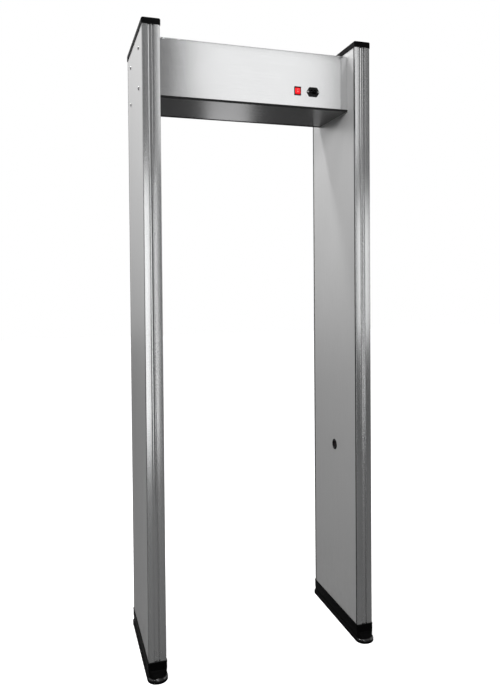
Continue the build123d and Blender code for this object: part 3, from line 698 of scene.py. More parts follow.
@dataclass(frozen=True)
class LayeredBoard:
    """Laminate or circuit board: woven glass under lacquer, with lines of a second colour."""

    name: str
    colour: Colour
    line_colour: Colour
    line_share: float = 0.5
    weave: float = 700.0 / 6
    line_scale: float = 90.0
    line_width: float = 0.03
    swing: tuple[float, float] = (0.85, 1.15)
    rough_range: tuple[float, float] = (0.38, 0.5)
    depth: float = 0.00003

    def material(self) -> bpy.types.Material:
        """Builds the material.

        Returns:
            The Blender material.
        """
        tree = FinishTree(self.name, Coat_Weight=0.3, Coat_Roughness=0.2)
        wave = {"Vector": tree.place, "Scale": self.weave, "Distortion": 0.6}
        bands = [
            tree.add("ShaderNodeTexWave", wave, bands_direction=direction).outputs["Fac"]
            for direction in ("X", "Y")
        ]
        woven = tree.times(*bands)
        lines = {"Vector": tree.place, "Scale": self.line_scale, "Mortar Size": self.line_width}
        tracks = tree.add("ShaderNodeTexBrick", lines).outputs["Fac"]
        cloth = tree.tinted(woven, self.colour, self.swing)
        lined = tree.mixed(tree.times(tracks, self.line_share), cloth, shade(self.line_colour))
        rough = tree.span(woven, *self.rough_range)
        return tree.cover(Base_Color=lined, Roughness=rough, Normal=tree.bump(woven, self.depth))


@dataclass(frozen=True)
class TintedPane:
    """Smoked or tinted clear plastic with faint wiping marks."""

    name: str
    colour: Colour
    clearness: float = 0.8
    ior: float = 1.49
    mark_scale: float = 90.0
    swing: tuple[float, float] = (0.9, 1.1)
    rough_range: tuple[float, float] = (0.04, 0.1)
    scratch_roughness: float = 0.2

    def material(self) -> bpy.types.Material:
        """Builds the material.

        Returns:
            The Blender material.
        """
        clear = {"Transmission_Weight": self.clearness, "IOR": self.ior, "Metallic": 0.0}
        tree = FinishTree(self.name, **clear)
        cloud = tree.effect(Effect.CLOUD, Scale=self.mark_scale)
        scratch = tree.effect(Effect.SCRATCH, Scale=self.mark_scale)
        tint = tree.tinted(cloud, self.colour, self.swing)
        wiped = tree.span(cloud, *self.rough_range)
        rough = tree.plus(wiped, tree.times(scratch, self.scratch_roughness))
        return tree.cover(Base_Color=tint, Roughness=rough)


@dataclass(frozen=True)
class GlowingPlastic:
    """Diffusing coloured plastic that glows, a strength of 0 leaving it unlit.

    The figures and the status lamps have a lamp behind them. The glow of the rocker and of the
    white marks is painted light.
    """

    name: str
    colour: Colour
    strength: float = 1.0
    roughness: float = 0.3
    swing: tuple[float, float] = (0.82, 1.12)
    polish: float = 0.05
    matting: float = 0.06
    cloud_scale: float = 420.0
    pebble: float = 2200.0
    depth: float = 0.00002

    def material(self) -> bpy.types.Material:
        """Builds the material.

        Returns:
            The Blender material.
        """
        lamp = {"Emission_Strength": self.strength, "Coat_Weight": 0.4, "Coat_Roughness": 0.1}
        tree = FinishTree(self.name, **lamp)
        cloud = tree.effect(Effect.CLOUD, Scale=self.cloud_scale)
        spark = tree.effect(Effect.SPARK, Scale=self.pebble)
        tint = tree.tinted(cloud, self.colour, self.swing)
        rough = tree.span(cloud, self.roughness - self.polish, self.roughness + self.matting)
        tree.cover(Normal=tree.bump(spark, self.depth))
        return tree.cover(Base_Color=tint, Emission_Color=tint, Roughness=rough)


@dataclass(frozen=True)
class WoundWire:
    """Enamelled copper wire wound in a flat band: fine ridges that follow the band, with painted
    shade in the hollows between them.
    """

    name: str
    colour: Colour
    ridge: float = 900.0 / 6
    furrow_shade: float = 0.45
    cloud_scale: float = 30.0
    swing: tuple[float, float] = (0.8, 1.15)
    rough_range: tuple[float, float] = (0.25, 0.4)
    depth: float = 0.0002

    def material(self) -> bpy.types.Material:
        """Builds the material.

        Returns:
            The Blender material.
        """
        tree = FinishTree(self.name, Metallic=0.85, Coat_Weight=0.5)
        wave = {"Vector": tree.place, "Scale": self.ridge, "Distortion": 0.3}
        ridges = tree.add("ShaderNodeTexWave", wave).outputs["Fac"]
        cloud = tree.effect(Effect.CLOUD, Scale=self.cloud_scale)
        tint = tree.tinted(cloud, self.colour, self.swing)
        # the darker colour in the hollows between the turns is painted shade
        hollow_shaded = tree.mixed(ridges, shade(self.colour, self.furrow_shade), tint)
        rough = tree.span(cloud, *self.rough_range)
        return tree.cover(Base_Color=hollow_shaded, Roughness=rough, Normal=tree.bump(ridges, self.depth))


Finish = DrawnMetal | Moulded | TurnedMetal | LayeredBoard | TintedPane | GlowingPlastic | WoundWire

HEADER_SHEET = DrawnMetal(
    "brushed_header_sheet", (0.86, 0.865, 0.87), 0.92, 0.16, (24, 24, 1500), 0.05, 0.00001
)
# the underside's dark colour, far below the header sheet's, is painted shade on the face that looks
# down
SHADED_UNDERSIDE = DrawnMetal(
    "brushed_underside_painted_shade", (0.26, 0.26, 0.265), 0.95, 0.24, (24, 1500, 24), 0.06, 0.00001
)
SKIN = DrawnMetal(
    "satin_panel_sheet", (0.69, 0.69, 0.69), 0.5, 0.36, (900, 900, 30), 0.04, 0.000005
)
RAIL = DrawnMetal("anodised_rail", (0.80, 0.805, 0.81), 0.94, 0.2, (260, 260, 0.2), 0.03, 0.0)
BRACKET = DrawnMetal("galvanised_bracket", (0.58, 0.6, 0.61), 0.9, 0.4, (60, 60, 60), 0.12)
SEAL = Moulded("seal_rubber", (0.012, 0.012, 0.013), 0.6, 900.0, dust=0.6)
CAP_PLASTIC = Moulded(
    "black_cap_moulding", (0.003, 0.003, 0.0032), 0.5, 1300.0, dust=0.0, gloss=0.15, ior=1.25
)
BOOT_PLASTIC = Moulded(
    "black_boot_moulding",
    (0.003, 0.003, 0.0032),
    roughness=0.3,
    pebble=1300.0,
    wear=0.1,
    dust=0.01,
    gloss=0.2,
    ior=1.15,
    # the glossy band on the nose edge is a painted highlight
    highlight_band_past=0.2,
)
TRIM_PLASTIC = Moulded("black_trim", (0.006, 0.006, 0.006), 0.4, 1800.0)
BEZEL_PLASTIC = Moulded("dark_bezel", (0.012, 0.012, 0.013), 0.4, 1200.0, gloss=0.3)
SWITCH_PLASTIC = Moulded(
    "switch_black", (0.008, 0.008, 0.008), 0.35, 2200.0, depth=0.00001
)
INLET_PLASTIC = Moulded(
    "inlet_black", (0.004, 0.004, 0.0045), 0.3, 2000.0, depth=0.00001, gloss=0.25
)
# painted glow: the rocker's emission brightens its red
ROCKER_RED = GlowingPlastic("rocker_red", (1.0, 0.008, 0.014), 0.75)
# painted glow: a faint emission brightens the white marks
MARK_WHITE = GlowingPlastic("mark_white", (0.85, 0.82, 0.8), 0.1, 0.4)
BUTTON_PLASTIC = Moulded("button_grey", (0.16, 0.165, 0.17), 0.5, 1600.0, wear=0.15)
SCREW_STEEL = TurnedMetal("plated_steel", (0.78, 0.78, 0.79))
DARK_BOLT = TurnedMetal("blackened_bolt", (0.09, 0.09, 0.095), 0.34, (0.03, 0.03, 0.03))
BRASS = TurnedMetal("contact_brass", (0.78, 0.6, 0.3))
NICKEL = TurnedMetal("bright_nickel", (0.97, 0.97, 0.97), 0.36, (0.7, 0.7, 0.7))
LENS = TintedPane("smoked_lens", (0.02, 0.008, 0.009), 0.6)
WINDOW = TintedPane("display_window_tint", (0.32, 0.30, 0.31), 0.9)
DIGIT_LIT = GlowingPlastic("lit_segment", (1.0, 0.10, 0.04), 3.0)
DIGIT_DARK = GlowingPlastic("unlit_segment", (0.05, 0.045, 0.045), 0.0)
LAMP_GREEN = GlowingPlastic("status_lamp", (0.12, 0.75, 0.2), 0.6)
DISPLAY_BACK = LayeredBoard("display_cells", (0.012, 0.012, 0.014), (0.03, 0.03, 0.03))
CIRCUIT = LayeredBoard("circuit_board", (0.02, 0.16, 0.06), (0.45, 0.36, 0.12))
LAMINATE = LayeredBoard("coil_board_laminate", (0.42, 0.30, 0.14), (0.34, 0.24, 0.11), 0.3)
BATTEN = Moulded("batten_plastic", (0.5, 0.49, 0.46), 0.6, 500.0, dust=0.0)
CONNECTOR = Moulded("connector_plastic", (0.05, 0.05, 0.055), 0.5, dust=0.0)
CHIPS = Moulded("component_black", (0.02, 0.02, 0.021), 0.5, dust=0.0)
COPPER = WoundWire("coil_winding", (0.78, 0.3, 0.1))


@dataclass
class Finisher:
    """Builds each finish once and puts it on objects."""

    made: dict[str, bpy.types.Material] = field(default_factory=dict)

    def get(self, finish: Finish) -> bpy.types.Material:
        """The material of a finish, built the first time.

        Args:
            finish: one of the finishes above.

        Returns:
            Its material.
        """
        if finish.name not in self.made:
            self.made[finish.name] = finish.material()
        return self.made[finish.name]

    def dress_node(self, node: str, finish: Finish) -> None:
        """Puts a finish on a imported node's own material slots.

        Args:
            node: the node's name.
            finish: the finish that it takes.
        """
        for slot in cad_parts[node].material_slots:
            slot.material = self.get(finish)


@dataclass(frozen=True)
class Piece:
    """What a new piece is called, rides on, takes its finish from and stands for."""

    name: str
    slot: str
    finish: Finish
    body: str = "arch"
    stands_for: tuple[str, ...] = ()
    sharp: float = 32.0

    def build(self, surface: Surface, finisher: Finisher) -> bpy.types.Object:
        """Makes the mesh object, links it to the scene, hangs it on its body and hides the nodes it
        stands for.

        Args:
            surface: the piece's closed surface, in the shared frame.
            finisher: where its material comes from.

        Returns:
            The finished object.
        """
        mesh = bpy.data.meshes.new(self.name)
        mesh.from_pydata(surface.points.tolist(), [], surface.faces)
        mesh.validate()
        mesh.polygons.foreach_set("use_smooth", np.ones(len(mesh.polygons), bool))
        mesh.set_sharp_from_angle(angle=math.radians(self.sharp))
        mesh.materials.append(finisher.get(self.finish))
        mesh.update()
        piece = bpy.data.objects.new(self.name, mesh)
        bpy.context.scene.collection.objects.link(piece)
        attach(piece, self.body)
        if self.stands_for:
            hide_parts(*self.stands_for)
        LOG.info("%s: %d faces on %s", self.name, len(mesh.polygons), self.body)
        return piece


# ---------------------------------------------------------------- side panels
@dataclass
class EdgeRails:
    """The four edge extrusions, each with a flat, a hollow band, a bead and a groove."""

    finisher: Finisher
    corner: float = 1.5 * MM
    lip: float = 4.0 * MM
    skin: float = 3.0 * MM
    band_start: float = -11.5 * MM
    bead_start: float = -2.0 * MM
    bead_end: float = 5.5 * MM
    groove_end: float = 8.8 * MM
    band_drop: float = 1.8 * MM
    band_hollow: float = 1.0 * MM
    groove_depth: float = 4.5 * MM
    corner_points: int = 7
    band_points: int = 13
    bead_points: int = 19
    levels: int = 12

    def bow(
        self, start: float, end: float, rise: float, count: int
    ) -> tuple[np.ndarray, np.ndarray]:
        """Circular arc over a chord: the drop below its peak at evenly spaced points.

        The radius is (half chord squared plus rise squared) over twice the rise, and the drop at a
        distance t from the middle is the radius less the root of radius squared less t squared.

        Args:
            start: first end of the chord.
            end: last end of the chord.
            rise: height of the arc over the chord.
            count: number of points.

        Returns:
            The places along the chord, and the drops.
        """
        half = (end - start) / 2
        radius = (half**2 + rise**2) / (2 * rise)
        along = np.linspace(start, end, count)
        return along, radius - np.sqrt(radius**2 - (along - (start + end) / 2) ** 2)

    def outline(self, half: float, depth: float) -> np.ndarray:
        """Loop of the section, s along the face and v in from it.

        Args:
            half: half the panel's thickness.
            depth: how far the rail's neck reaches in behind the skins.

        Returns:
            Array of shape (points, 2).
        """
        turn = np.linspace(0, math.pi / 2, self.corner_points)
        round_s = half - self.corner + self.corner * np.sin(turn)
        round_v = self.corner * (1 - np.cos(turn))
        right_corner = np.stack([round_s, round_v], axis=-1)
        left_corner = (right_corner * np.array([-1, 1]))[::-1]
        band_s, band_fall = self.bow(
            self.band_start, self.bead_start, self.band_hollow, self.band_points
        )
        band = np.stack([band_s, self.band_drop + self.band_hollow - band_fall], axis=-1)
        bow = self.bow(self.bead_start, self.bead_end, self.band_drop, self.bead_points)
        bead = np.stack(bow, axis=-1)
        neck = half - self.skin
        groove_ends = (self.bead_end, self.groove_end)
        groove = [(end, self.groove_depth) for end in groove_ends] + [(self.groove_end, 0)]
        back_right = np.array([(half, self.lip), (neck, self.lip), (neck, depth)])
        back = np.concatenate([back_right, (back_right * np.array([-1, 1]))[::-1]])
        pieces = [left_corner, [(self.band_start, 0)], band, bead[1:], groove, right_corner, back]
        return np.concatenate([np.array(piece, float).reshape(-1, 2) for piece in pieces])

    def build(self) -> None:
        """Builds the rails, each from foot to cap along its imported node's height."""
        for side_name in SIDES:
            for end_name, facing in ENDS.items():
                node = f"{side_name}_{end_name}_rail"
                low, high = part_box(node)
                half = (high.x - low.x) / 2
                face_y = low.y if facing < 0 else high.y
                origin = ((low.x + high.x) / 2, face_y, low.z)
                place = Place(origin, (-facing, 0, 0), (0, -facing, 0))
                loop = self.outline(half, high.y - low.y)
                heights = np.linspace(0, high.z - low.z, self.levels).tolist()
                surface = lofted(stacked(place, [loop] * self.levels, heights))
                piece = Piece(f"{node}_extrusion", "rail_metal", RAIL, stands_for=(node,))
                piece.build(surface, self.finisher)


@dataclass
class FootBoots:
    """The two moulded feet: a flared flange with rounded ends and a socket with a lip."""

    finisher: Finisher
    wall: float = 2.5 * MM
    edge_height: float = 14.0 * MM
    slope_top: float = 34.0 * MM
    edge_round: float = 5.0 * MM
    lip_height: float = 5.0 * MM
    lip_proud: float = 0.5 * MM
    wall_corner: float = 6.0 * MM
    flange_corner: float = 33.0 * MM
    floor: float = 8.0 * MM
    fit_gap: float = 0.25 * MM
    base_inset: float = 0.8 * MM
    base_rise: float = 0.9 * MM
    sweep: float = 0.07
    edge_points: int = 6
    slope_points: int = 10
    mouth: float = 0.7 * MM
    mouth_corner: float = 1.2 * MM
    socket_corner: float = 0.8 * MM
    socket_drop: float = 0.5 * MM
    sharp: float = 40.0

    def sections(
        self, half: tuple[float, float], flange: tuple[float, float], top: float
    ) -> list[tuple[np.ndarray, float]]:
        """Loops and heights from the underside up the outside and down into the socket.

        The flange's edge is a quarter circle. From it the slope runs to the wall as a blend whose
        share is the height's share plus a small sine of a full turn.

        Args:
            half: half the panel's thickness and depth.
            flange: half the flange's width and length.
            top: height of the boot.

        Returns:
            Pairs of a loop and its height.
        """
        made = []

        def ring(base: np.ndarray, corner: float, grow: float, height: float) -> None:
            """Adds a rounded rectangle, grown by some distance all round, at a height."""
            made.append((rounded_rectangle(*(base + grow), corner + grow), height))

        outer, inner = np.array(flange), np.array(half)
        ring(outer, self.flange_corner, -self.base_inset, 0.0)
        ring(outer, self.flange_corner, 0.0, self.base_rise)
        for angle in np.linspace(0, math.pi / 2, self.edge_points):
            fall = self.edge_round * (1 - math.sin(angle))
            inset = self.edge_round * (1 - math.cos(angle))
            ring(outer, self.flange_corner, -inset, self.edge_height - fall)
        wall = inner + self.wall
        slope = self.slope_top - self.edge_height
        edge, edge_corner = outer - self.edge_round, self.flange_corner - self.edge_round
        for share in np.linspace(0, 1, self.slope_points)[1:]:
            eased = share + self.sweep * math.sin(2 * math.pi * share)
            corner = edge_corner * (1 - eased) + self.wall_corner * eased
            ring(edge * (1 - eased) + wall * eased, corner, 0.0, self.edge_height + share * slope)
        bottom = top - self.lip_height
        lip = [(0.0, bottom), (0.7, bottom + 0.1 * MM), (1.0, bottom + 0.6 * MM)]
        for share, height in (*lip, (1.0, top - 0.7 * MM), (0.4, top)):
            ring(wall, self.wall_corner, share * self.lip_proud, height)
        ring(inner + self.mouth, self.mouth_corner, 0.0, top)
        for height in (top - self.socket_drop, self.floor):
            ring(inner + self.fit_gap, self.socket_corner, 0.0, height)
        return made

    def build(self) -> None:
        """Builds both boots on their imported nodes' places."""
        for side_name in SIDES:
            node = f"{side_name}_foot_boot"
            low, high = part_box(node)
            rail_low, rail_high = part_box(f"{side_name}_near_rail")
            half = ((rail_high.x - rail_low.x) / 2, -rail_low.y)
            made = self.sections(half, ((high.x - low.x) / 2, high.y), high.z)
            loops, heights = zip(*made)
            rings = stacked(Place(((low.x + high.x) / 2, 0, 0)), list(loops), list(heights))
            name, slot = f"{node}_moulding", "boot_moulding"
            piece = Piece(name, slot, BOOT_PLASTIC, stands_for=(node,), sharp=self.sharp)
            piece.build(lofted(rings), self.finisher)


# ---------------------------------------------------------------- header
def pierced_sheet(front: np.ndarray, back: np.ndarray, kept: np.ndarray) -> Surface:
    """Closed sheet from two grids of points, without the cells that are openings.

    Each kept cell gives a front face and a back face. An edge of a kept cell that no other kept
    cell shares lies on a rim, and gets a wall between the two grids.

    Args:
        front: grid of points of shape (columns, rows, 3).
        back: the same grid on the other face.
        kept: which cells are sheet, of shape (columns - 1, rows - 1).

    Returns:
        The closed surface, its faces outwards.
    """
    rows = front.shape[1]
    count = front.shape[0] * rows
    column, row = np.nonzero(kept)
    first = column * rows + row
    cells = np.stack([first, first + rows, first + rows + 1, first + 1], axis=-1)
    edges = np.stack([cells, np.roll(cells, -1, axis=1)], axis=-1).reshape(-1, 2)
    ahead = edges[:, 0] * count + edges[:, 1]
    behind = edges[:, 1] * count + edges[:, 0]
    rim = edges[~np.isin(ahead, behind)]
    walls = np.stack([rim[:, 1], rim[:, 0], rim[:, 0] + count, rim[:, 1] + count], axis=-1)
    faces = np.concatenate([cells, cells[:, ::-1] + count, walls])
    points = np.concatenate([front.reshape(-1, 3), back.reshape(-1, 3)])
    return Surface(points, faces.tolist()).outward()


@dataclass
class NearSheet:
    """Brushed sheet over the near side of the header, with a rolled top edge."""

    finisher: Finisher
    thickness: float = 2.0 * MM
    roll: float = 1.2 * MM
    switch_half: tuple[float, float] = (10.95 * MM, 13.7 * MM)
    inlet_half: tuple[float, float] = (14.2 * MM, 10.2 * MM)
    columns: int = 24
    rows: int = 8
    roll_points: int = 7

    def rolled(self, z: np.ndarray, top: float) -> np.ndarray:
        """How far the face falls back at height z.

        It is flat up to a roll's radius from the top, then follows a quarter circle: the radius
        less the root of the radius squared less the squared rise into the roll.

        Args:
            z: heights on the sheet.
            top: height of its top edge.

        Returns:
            The falls, in metres.
        """
        rise = np.clip(z - (top - self.roll), 0, self.roll)
        return self.roll - np.sqrt(self.roll**2 - rise**2)

    def build(self) -> None:
        """Lays a grid over the sheet, with lines on the edges of its two openings."""
        low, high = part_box("header_near_panel")
        switch = sum(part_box("rocker_pin"), Vector()) / 2
        inlet = sum(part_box("mains_inlet"), Vector()) / 2
        openings = [(switch, self.switch_half), (inlet, self.inlet_half)]
        turn = np.linspace(0, math.pi / 2, self.roll_points)
        roll_start = high.z - self.roll
        xs = [np.linspace(low.x, high.x, self.columns)]
        zs = [np.linspace(low.z, roll_start, self.rows), roll_start + self.roll * np.sin(turn)]
        for centre, half in openings:
            xs.append(centre.x + np.array([-half[0], half[0]]))
            zs.append(centre.z + np.array([-half[1], half[1]]))
        x = np.unique(np.round(np.concatenate(xs), 6))
        z = np.unique(np.round(np.concatenate(zs), 6))
        grid_x, grid_z = np.meshgrid(x, z, indexing="ij")
        front = np.stack([grid_x, low.y + self.rolled(grid_z, high.z), grid_z], axis=-1)
        back = np.stack([grid_x, np.full_like(grid_x, low.y + self.thickness), grid_z], axis=-1)
        middle_x, middle_z = np.meshgrid((x[:-1] + x[1:]) / 2, (z[:-1] + z[1:]) / 2, indexing="ij")
        kept = np.ones(middle_x.shape, bool)
        for centre, half in openings:
            beside = np.abs(middle_x - centre.x) > half[0]
            kept &= beside | (np.abs(middle_z - centre.z) > half[1])
        node = "header_near_panel"
        piece = Piece("header_near_sheet", "header_sheet", HEADER_SHEET, stands_for=(node,))
        piece.build(pierced_sheet(front, back, kept), self.finisher)


@dataclass
class PowerSwitch:
    """Black snap-in housing and the red rocker that tips in it, marked with a bar and a ring."""

    finisher: Finisher
    rocker_radius: float = 12.0 * MM
    valley: float = 6.8 * MM
    crest: float = 9.2 * MM
    back: float = -4.0 * MM
    rest_tilt: float = math.radians(9.0)
    pivot_depth: float = 5.0 * MM
    opening: tuple[float, float] = (9.55 * MM, 12.2 * MM)
    body_half: tuple[float, float] = (10.75 * MM, 13.5 * MM)
    cavity: float = 12.8 * MM
    bezel_round: float = 0.9 * MM
    mouth_flat: float = 0.5 * MM
    meet: float = 8.52 * MM
    dish: float = 0.22 * MM
    face_points: int = 25
    end_points: int = 9
    corner_points: int = 5
    mark_reach: float = 4.9 * MM
    mark_sunk: float = 0.25 * MM
    mark_proud: float = 0.12 * MM
    bar_half: tuple[float, float] = (0.45 * MM, 2.1 * MM)
    bar_corner: float = 0.4 * MM
    ring_radii: tuple[float, float] = (2.0 * MM, 1.3 * MM)

    def housing(self) -> Surface:
        """Skin from the back of the body over the bezel and down into the rocker's well.

        Returns:
            The housing's closed surface.
        """
        low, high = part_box("switch_housing")
        half_u = (high.x - low.x) / 2
        half_v = (high.z - low.z) / 2
        face_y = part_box("header_near_panel")[0].y
        proud = face_y - low.y
        place = face_place((low.x + high.x) / 2, face_y, (low.z + high.z) / 2, -1)
        body, bezel = np.array(self.body_half), np.array((half_u, half_v))
        mouth = np.array(self.opening)
        steep = 0.3 * self.bezel_round
        steps = [
            (body, 1.0, face_y - high.y),
            (body, 1.0, 0.0),
            (bezel, 2.0, 0.0),
            (bezel, 2.0, proud - self.bezel_round),
            (bezel - steep, 1.8, proud - steep),
            (bezel - self.bezel_round, 1.4, proud),
            (mouth + self.mouth_flat, 1.0, proud),
            (mouth, 0.6, proud - self.mouth_flat),
            (mouth, 0.6, -self.cavity),
        ]
        loops = [
            rounded_rectangle(*half, radius * MM, self.corner_points) for half, radius, _ in steps
        ]
        return lofted(stacked(place, loops, [height for _, _, height in steps]))

    def rocker_place(self, x: float) -> Place:
        """Frame on the rocker's pivot: u points out of the switch and v up it.

        Args:
            x: where the frame's origin lies along the pin.

        Returns:
            The frame.
        """
        centre = sum(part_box("rocker_pin"), Vector()) / 2
        sine, cosine = math.sin(self.rest_tilt), math.cos(self.rest_tilt)
        return Place((x, centre.y, centre.z), (0, -cosine, sine), (0, sine, cosine), (1, 0, 0))

    def rocker(self) -> Surface:
        """Skin of the rocker, with edges rounded by loops that shrink a little.

        Each of its two faces rises from the valley in a straight line, less half a wave of a sine
        that hollows it. The ends are arcs round the pivot.

        Returns:
            The rocker's closed surface.
        """
        low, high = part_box("power_rocker")
        face_v = np.linspace(-self.meet, self.meet, self.face_points)
        slope = (self.crest - self.valley) / self.rocker_radius
        hollow = self.dish * np.sin(math.pi * np.abs(face_v) / self.meet)
        face_u = self.valley + slope * np.abs(face_v) - hollow
        start = math.atan2(face_v[-1], face_u[-1])
        end = math.acos(self.back / self.rocker_radius)
        sweep = np.linspace(start, end, self.end_points)[1:]
        upper = self.rocker_radius * np.stack([np.cos(sweep), np.sin(sweep)], axis=-1)
        lower = (upper * np.array([1, -1]))[::-1]
        loop = np.concatenate([np.stack([face_u, face_v], axis=-1), upper, lower])
        half = (high.x - low.x) / 2
        insets = [(-half, 0.55), (-half + 0.12 * MM, 0.25), (-half + 0.5 * MM, 0.0)]
        insets += [(-at, inset) for at, inset in reversed(insets)]
        loops = [sunk_loop(loop, inset * MM) for _, inset in insets]
        place = self.rocker_place((low.x + high.x) / 2)
        return lofted(stacked(place, loops, [at for at, _ in insets]))

    def marks(self) -> Surface:
        """A bar on the upper face and a ring on the lower one, standing just proud.

        Returns:
            Both marks' closed surfaces.
        """
        low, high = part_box("power_rocker")
        middle = self.rocker_place((low.x + high.x) / 2)
        axes = np.array([middle.u, middle.v])
        lean = math.atan((self.crest - self.valley) / self.rocker_radius)
        parts = []
        for half in (1, -1):
            out = math.cos(lean) * axes[0] - half * math.sin(lean) * axes[1]
            up = half * math.sin(lean) * axes[0] + math.cos(lean) * axes[1]
            height = self.valley + math.tan(lean) * self.mark_reach - self.dish
            step = height * axes[0] + half * self.mark_reach * axes[1]
            place = Place(tuple(middle.origin + step), (1, 0, 0), tuple(up), tuple(out))
            base, top = -self.mark_sunk, self.mark_proud
            if half > 0:
                loop = rounded_rectangle(*self.bar_half, self.bar_corner, 4)
                parts.append(lofted(stacked(place, [loop, loop], [base, top])))
            else:
                outer, inner = (circle(radius, 32) for radius in self.ring_radii)
                rings = stacked(place, [outer, outer, inner, inner], [base, top, top, base])
                parts.append(lofted(rings, round_again=True))
        return Surface.joined(parts)

    def build(self) -> None:
        """Builds the housing, the rocker and its marks."""
        body, node = "power_rocker", "switch_housing"
        housing = Piece("switch_frame", "switch_black", SWITCH_PLASTIC, stands_for=(node,))
        housing.build(self.housing(), self.finisher)
        moulding = Piece("rocker_moulding", "rocker_red", ROCKER_RED, body, (body,))
        moulding.build(self.rocker(), self.finisher)
        marks = Piece("rocker_marks", "rocker_red", MARK_WHITE, body)
        marks.build(self.marks(), self.finisher)


@dataclass
class CounterWindows:
    """Round infrared windows in the inner skins: a stepped bezel with a domed lens."""

    finisher: Finisher
    flange: float = 20.0 * MM
    barrel: float = 16.8 * MM
    seat: float = 13.0 * MM
    seat_depth: float = 5.0 * MM
    barrel_depth: float = 13.0 * MM
    flange_height: float = 0.8 * MM
    proud: float = 2.0 * MM
    lens_fit: float = 0.98
    lens_edge: float = -3.2 * MM
    lens_rise: float = 3.1 * MM
    lens_points: int = 14
    lens_flat: float = 0.03

    def build(self) -> None:
        """Builds both bezels and lenses as turned parts on the passage's axis."""
        for name, side in (("emitter", -1), ("receiver", 1)):
            low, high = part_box(f"{name}_bezel")
            skin_low, skin_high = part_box(f"{'left' if side < 0 else 'right'}_inner_skin")
            face_x = skin_high.x if side < 0 else skin_low.x
            origin = (face_x, (low.y + high.y) / 2, (low.z + high.z) / 2)
            place = Place(origin, (0, -side, 0), (0, 0, 1), (-side, 0, 0))
            bezel = [
                (self.barrel, -self.barrel_depth),
                (self.barrel, 0.0),
                (self.flange, 0.0),
                (self.flange, self.flange_height),
                (self.flange - 0.35 * MM, self.proud - 0.35 * MM),
                (self.flange - 1.2 * MM, self.proud),
                (self.seat + 1.6 * MM, self.proud),
                (self.seat + 1.2 * MM, self.proud - 0.3 * MM),
                (self.seat + 0.9 * MM, self.proud),
                (self.seat + 0.4 * MM, self.proud),
                (self.seat, self.proud - 0.4 * MM),
                (self.seat, -self.seat_depth),
            ]
            node = f"{name}_bezel"
            ring = Piece(f"{node}_ring", "black_moulding", BEZEL_PLASTIC, stands_for=(node,))
            ring.build(turned(place, bezel), self.finisher)
            radius = self.seat * self.lens_fit
            lens = [(radius, -self.seat_depth)]
            for angle in np.linspace(0, math.pi / 2 - self.lens_flat, self.lens_points):
                height = self.lens_edge + self.lens_rise * math.sin(angle)
                lens.append((radius * math.cos(angle), height))
            node = f"{name}_lens"
            dome = Piece(f"{node}_dome", "smoked_lens", LENS, stands_for=(node,))
            dome.build(turned(place, lens), self.finisher)


